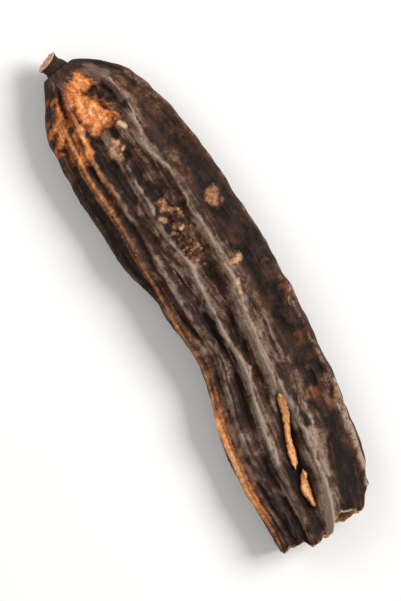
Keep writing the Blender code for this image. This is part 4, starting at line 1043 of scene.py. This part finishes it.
def dried_skin(settings):
    """Dried carob husk: thin leathery skin shrunk onto the pulp, dark, with painted shade that makes it nearly black
    in the hollows and the split, greyer, smoother and a little shiny on the crests, which also carry a painted sheen,
    with bare orange pulp where it is rubbed through."""
    material, tree, shader = new_material("dried_carob_skin")
    place = add_node(tree, "ShaderNodeAttribute", attribute_name="place").outputs["Vector"]
    value = {name: add_node(tree, "ShaderNodeAttribute", attribute_name=name).outputs["Fac"]
             for name in ("broad", "fine", "back", "bare", "bright", "seam", "seam_light", "scurf", "scab", "paleness",
                          "dust", "worn", "light", "dark", "russet", "lip", "split", "strand")}
    places = {"plain": place}
    for name, inputs in SKIN_MAPPINGS.items():
        places[name] = add_node(tree, "ShaderNodeMapping", {"Vector": place, **inputs}).outputs["Vector"]
    noises = {name: add_node(tree, "ShaderNodeTexNoise", {"Vector": places[mapping], "Scale": scale,
                                                          "Detail": detail, "Roughness": 0.6})
              for name, (mapping, scale, detail) in SKIN_NOISES.items()}
    value.update({name: texture.outputs["Fac"] for name, texture in noises.items()})

    # The scurf's grains are cells with slightly crooked edges.
    crooked = add_node(tree, "ShaderNodeVectorMath", {0: noises["crumb"].outputs["Color"], 1: (0.5, 0.5, 0.5),
                                                      2: place}, operation="MULTIPLY_ADD").outputs[0]
    cells = add_node(tree, "ShaderNodeTexVoronoi", {"Vector": crooked, "Scale": SCURF_SCALE, "Randomness": 1.0})
    tint = add_node(tree, "ShaderNodeSeparateColor", {"Color": cells.outputs["Color"]})
    value.update(cell=cells.outputs["Distance"], cell_red=tint.outputs["Red"], cell_green=tint.outputs["Green"])

    def total(base, weights):
        """The sum of a base, or of the value of that name, and each named value times its weight."""
        return weighed(tree, value.get(base, base), [(value[name], weight) for name, weight in weights.items()])

    unbroken = add_node(tree, "ShaderNodeMapRange", {"Value": value["mottle"], "From Min": WEAR_AND_SHEEN_BREAKS[0],
                                                     "From Max": WEAR_AND_SHEEN_BREAKS[1]}, interpolation_type="SMOOTHSTEP")
    value["wear_and_sheen_part"] = add_node(tree, "ShaderNodeMath", {0: value["worn"], 1: unbroken.outputs[0]},
                                  operation="MULTIPLY").outputs[0]
    value["tone"] = total(TONE_BASE, TONE)
    colour = None
    for name, (base, weights, step, colours, *colour_sum) in SKIN_LAYERS.items():
        cover = total(base, weights)
        if step:
            inputs = {"Value": cover, "From Min": step[0], "From Max": step[1], "To Max": step[2]}
            cover = add_node(tree, "ShaderNodeMapRange", inputs, interpolation_type="SMOOTHSTEP").outputs[0]
        value[name + "_cover"] = cover
        if colour_sum:
            stops = [(at, getattr(settings, shade)) for at, shade in colours]
            above = add_node(tree, "ShaderNodeValToRGB", {"Fac": total(*colour_sum)}, stops=stops).outputs["Color"]
        else:
            above = getattr(settings, colours)
        if colour is None:
            colour = above
        else:
            colour = add_node(tree, "ShaderNodeMix", {"Factor": cover, "A": colour, "B": above},
                              data_type="RGBA").outputs["Result"]

    normal = None
    for name, strength, height in SKIN_BUMPS:
        inputs = {"Height": value[name], "Strength": strength, "Distance": height * MM}
        if normal:
            inputs["Normal"] = normal
        normal = add_node(tree, "ShaderNodeBump", inputs).outputs["Normal"]
    tree.links.new(colour, shader.inputs["Base Color"])
    tree.links.new(total(ROUGHNESS_BASE, ROUGHNESS), shader.inputs["Roughness"])
    tree.links.new(normal, shader.inputs["Normal"])
    shader.inputs["Specular IOR Level"].default_value = 0.20
    return material


def torn_pulp(settings):
    """Torn carob pulp: dry, fibrous and full of pits, orange-brown, with painted shade darkening the pits and a paler
    chamber's rim.
    """
    material, tree, shader = new_material("torn_carob_pulp")
    where = add_node(tree, "ShaderNodeTexCoord").outputs["Object"]
    pore = add_node(tree, "ShaderNodeAttribute", attribute_name="pore").outputs["Fac"]
    rim = add_node(tree, "ShaderNodeAttribute", attribute_name="rim").outputs["Fac"]
    # Fibres about 0.4 mm across, set in metres.
    fibre = add_node(tree, "ShaderNodeTexNoise", {"Vector": where, "Scale": 2600.0, "Detail": 6.0}).outputs["Fac"]
    # The pits are darkened with painted shade.
    tone = weighed(tree, 0.10, [(fibre, 0.9), (pore, -0.6)])
    colour = add_node(tree, "ShaderNodeValToRGB", {"Fac": tone},
                      stops=[(0.08, settings.skin_dark), (0.32, settings.pulp_brown), (0.52, settings.pulp),
                             (0.75, settings.strand)])
    colour = add_node(tree, "ShaderNodeMix", {"Factor": rim, "A": colour.outputs["Color"], "B": settings.lining},
                      data_type="RGBA")
    grain = add_node(tree, "ShaderNodeBump", {"Height": fibre, "Strength": 0.7, "Distance": 0.25 * MM})
    tree.links.new(colour.outputs["Result"], shader.inputs["Base Color"])
    tree.links.new(grain.outputs["Normal"], shader.inputs["Normal"])
    shader.inputs["Roughness"].default_value = 0.8
    return material


def chamber_lining(settings):
    """The seed chamber's parchment lining: thin, smooth and slightly shiny, tan with darker veins."""
    material, tree, shader = new_material("chamber_parchment")
    where = add_node(tree, "ShaderNodeTexCoord").outputs["Object"]
    # Veins about 1 mm apart, set in metres.
    veins = add_node(tree, "ShaderNodeTexNoise", {"Vector": where, "Scale": 900.0, "Detail": 5.0})
    colour = add_node(tree, "ShaderNodeValToRGB", {"Fac": veins.outputs["Fac"]},
                      stops=[(0.3, settings.skin_back), (0.62, settings.lining)])
    bump_node = add_node(tree, "ShaderNodeBump", {"Height": veins.outputs["Fac"], "Strength": 0.3,
                                                  "Distance": 0.2 * MM})
    tree.links.new(colour.outputs["Color"], shader.inputs["Base Color"])
    tree.links.new(bump_node.outputs["Normal"], shader.inputs["Normal"])
    shader.inputs["Roughness"].default_value = 0.4
    return material


def stalk_wood(settings):
    """The dry stalk: dark furrowed bark on its side, and pale fibrous wood on its broken end."""
    material, tree, shader = new_material("dry_stalk")
    place = add_node(tree, "ShaderNodeAttribute", attribute_name="place").outputs["Vector"]
    end = add_node(tree, "ShaderNodeAttribute", attribute_name="end").outputs["Fac"]
    # Furrows 0.3 mm apart that run along the stalk, and a grain of 0.25 mm in its wood.
    furrow_way = add_node(tree, "ShaderNodeMapping", {"Vector": place, "Scale": (0.35, 1.0, 1.0)}).outputs["Vector"]
    furrows = add_node(tree, "ShaderNodeTexNoise", {"Vector": furrow_way, "Scale": 3.2, "Detail": 6.0})
    bark = add_node(tree, "ShaderNodeMix", {"Factor": furrows.outputs["Fac"], "A": settings.bark,
                                            "B": settings.wood}, data_type="RGBA")
    darker = add_node(tree, "ShaderNodeMix", {"Factor": 0.93, "A": bark.outputs["Result"], "B": settings.bark},
                      data_type="RGBA")
    grain = add_node(tree, "ShaderNodeTexNoise", {"Vector": place, "Scale": 4.0, "Detail": 5.0})
    wood = add_node(tree, "ShaderNodeValToRGB", {"Fac": grain.outputs["Fac"]},
                    stops=[(0.32, settings.bark), (0.5, settings.wood), (0.75, settings.wood)])
    colour = add_node(tree, "ShaderNodeMix", {"Factor": end, "A": darker.outputs["Result"],
                                              "B": wood.outputs["Color"]}, data_type="RGBA")
    bump_node = add_node(tree, "ShaderNodeBump", {"Height": furrows.outputs["Fac"], "Strength": 0.8,
                                                  "Distance": 0.4 * MM})
    tree.links.new(colour.outputs["Result"], shader.inputs["Base Color"])
    tree.links.new(bump_node.outputs["Normal"], shader.inputs["Normal"])
    shader.inputs["Roughness"].default_value = 0.80
    shader.inputs["Specular IOR Level"].default_value = 0.15
    return material


class CAROB_OT_pod(bpy.types.Operator):
    """Build the dried pod with its folds, creases, split and torn end"""
    bl_idname = "carob.build_pod"
    bl_label = "Build Pod"

    def execute(self, context):
        settings = context.scene.carob_pod
        torn_row = settings.socket_rows + settings.body_rows
        chamber_row = torn_row + settings.break_rows
        rows = chamber_row + settings.chamber_rows + settings.floor_rows
        mesh = bmesh.new()
        bmesh.ops.create_uvsphere(mesh, u_segments=settings.sides, v_segments=rows, radius=1.0)
        row, turn = sphere_rows(mesh, settings.sides, rows)
        points, marks, place = pod_surface(settings, row, turn)
        mesh.verts.ensure_lookup_table()
        for face in mesh.faces:
            middle = sum(row[vertex.index] for vertex in face.verts) / len(face.verts)
            face.material_index = int(middle > torn_row + LIP_ROWS) + int(middle > chamber_row)
        materials = [dried_skin(settings), torn_pulp(settings), chamber_lining(settings)]
        pod = finish_piece("pod_skin", mesh, points, marks, place, materials)
        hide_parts("pod")
        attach(pod, "root")
        return {"FINISHED"}


class CAROB_OT_stalk(bpy.types.Operator):
    """Build the stub of the stalk in the blunt end"""
    bl_idname = "carob.build_stalk"
    bl_label = "Build Stalk"

    def execute(self, context):
        settings = context.scene.carob_stalk
        mesh = bmesh.new()
        bmesh.ops.create_uvsphere(mesh, u_segments=settings.sides, v_segments=settings.rows, radius=1.0)
        row, turn = sphere_rows(mesh, settings.sides, settings.rows)
        steps = np.linspace(0.0, settings.rows, len(STALK_PROFILE))
        profile_place, profile_radius = np.array(STALK_PROFILE).T
        out = np.interp(row, steps, profile_place)
        wide = np.interp(row, steps, profile_radius)
        angle = turn * 2.0 * math.pi
        uneven = 1.0
        for share, fine_round, fine_along in STALK_GRAINS:
            grain = rough(fine_round * np.cos(angle), fine_round * np.sin(angle), out * fine_along)
            uneven = uneven + share * grain
        wide = wide * uneven
        end = smooth_step(*STALK_WOOD_FROM, row / settings.rows)
        across, up = wide * np.cos(angle), wide * np.sin(angle)
        for height, fineness, seed in STALK_END_LUMPS:
            out = out + height * (out > STALK_END_FROM) * rough(across * fineness, up * fineness, seed)
        turned = Vector(STALK_DIRECTION).to_track_quat("Z", "Y").to_matrix()
        local = np.stack([across, up, out], axis=-1)
        points = local @ np.array(turned).T + np.array(middle_line(0.0)[:3])
        place = np.stack([out, across, up], axis=-1)
        stalk = finish_piece("stalk_stub", mesh, points, {"end": end}, place, [stalk_wood(settings)])
        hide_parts("stalk")
        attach(stalk, "root")
        return {"FINISHED"}


class CAROB_OT_stage(bpy.types.Operator):
    """Add the floor, the soft lights and the camera"""
    bl_idname = "carob.build_stage"
    bl_label = "Build Stage"

    def execute(self, context):
        settings = context.scene.carob_stage
        scene = context.scene
        mesh = bmesh.new()
        bmesh.ops.create_grid(mesh, x_segments=1, y_segments=1, size=settings.floor_size / 2.0)
        data = bpy.data.meshes.new("floor")
        mesh.to_mesh(data)
        mesh.free()
        floor = bpy.data.objects.new("floor", data)
        scene.collection.objects.link(floor)
        # Matt paper, nearly white.
        paper, _, shader = new_material("pale_paper")
        shader.inputs["Base Color"].default_value = settings.floor_colour
        shader.inputs["Roughness"].default_value = 0.9
        data.materials.append(paper)

        world = bpy.data.worlds.new("studio")
        world.use_nodes = True
        background = world.node_tree.nodes["Background"]
        background.inputs["Color"].default_value = (1.0, 1.0, 1.0, 1.0)
        background.inputs["Strength"].default_value = WORLD_STRENGTH
        scene.world = world
        scene.view_settings.view_transform = "Standard"
        for name, (place, size, power) in LIGHTS.items():
            lamp = bpy.data.lights.new(name, "AREA")
            lamp.size = size
            lamp.energy = power
            light = bpy.data.objects.new(name, lamp)
            light.location = place
            light.rotation_euler = (-Vector(place)).to_track_quat("-Z", "Y").to_euler()
            scene.collection.objects.link(light)

        lens = bpy.data.cameras.new("camera")
        lens.sensor_fit = "VERTICAL"
        lens.sensor_height = SENSOR_HEIGHT
        lens.lens = SENSOR_HEIGHT * (settings.camera_height - FRAMED_HEIGHT * MM) / settings.view_height
        lens.clip_start = CLIP_START
        camera = bpy.data.objects.new("camera", lens)
        camera.location = (CAMERA_OVER[0] * MM, CAMERA_OVER[1] * MM, settings.camera_height)
        camera.rotation_euler = (0.0, 0.0, settings.camera_turn)
        scene.collection.objects.link(camera)
        scene.camera = camera
        return {"FINISHED"}


class CAROB_PT_panel(bpy.types.Panel):
    """Lists the pod's pieces and its stage"""
    bl_idname = "CAROB_PT_panel"
    bl_label = "Carob Pod"
    bl_space_type = "VIEW_3D"
    bl_region_type = "UI"
    bl_category = "Carob Pod"

    def draw(self, context):
        scene = context.scene
        for settings, operator in ((scene.carob_pod, CAROB_OT_pod), (scene.carob_stalk, CAROB_OT_stalk),
                                   (scene.carob_stage, CAROB_OT_stage)):
            box = self.layout.box()
            for name in settings.bl_rna.properties.keys():
                if name not in ("rna_type", "name"):
                    box.prop(settings, name)
            box.operator(operator.bl_idname)


CLASSES = (PodSettings, StalkSettings, StageSettings, CAROB_OT_pod, CAROB_OT_stalk, CAROB_OT_stage, CAROB_PT_panel)


def register():
    for cls in CLASSES:
        bpy.utils.register_class(cls)
    bpy.types.Scene.carob_pod = bpy.props.PointerProperty(type=PodSettings)
    bpy.types.Scene.carob_stalk = bpy.props.PointerProperty(type=StalkSettings)
    bpy.types.Scene.carob_stage = bpy.props.PointerProperty(type=StageSettings)


def unregister():
    del bpy.types.Scene.carob_stage
    del bpy.types.Scene.carob_stalk
    del bpy.types.Scene.carob_pod
    for cls in reversed(CLASSES):
        bpy.utils.unregister_class(cls)


def main():
    register()
    bpy.ops.carob.build_stage()
    bpy.ops.carob.build_pod()
    bpy.ops.carob.build_stalk()


if __name__ == "__main__":
    main()
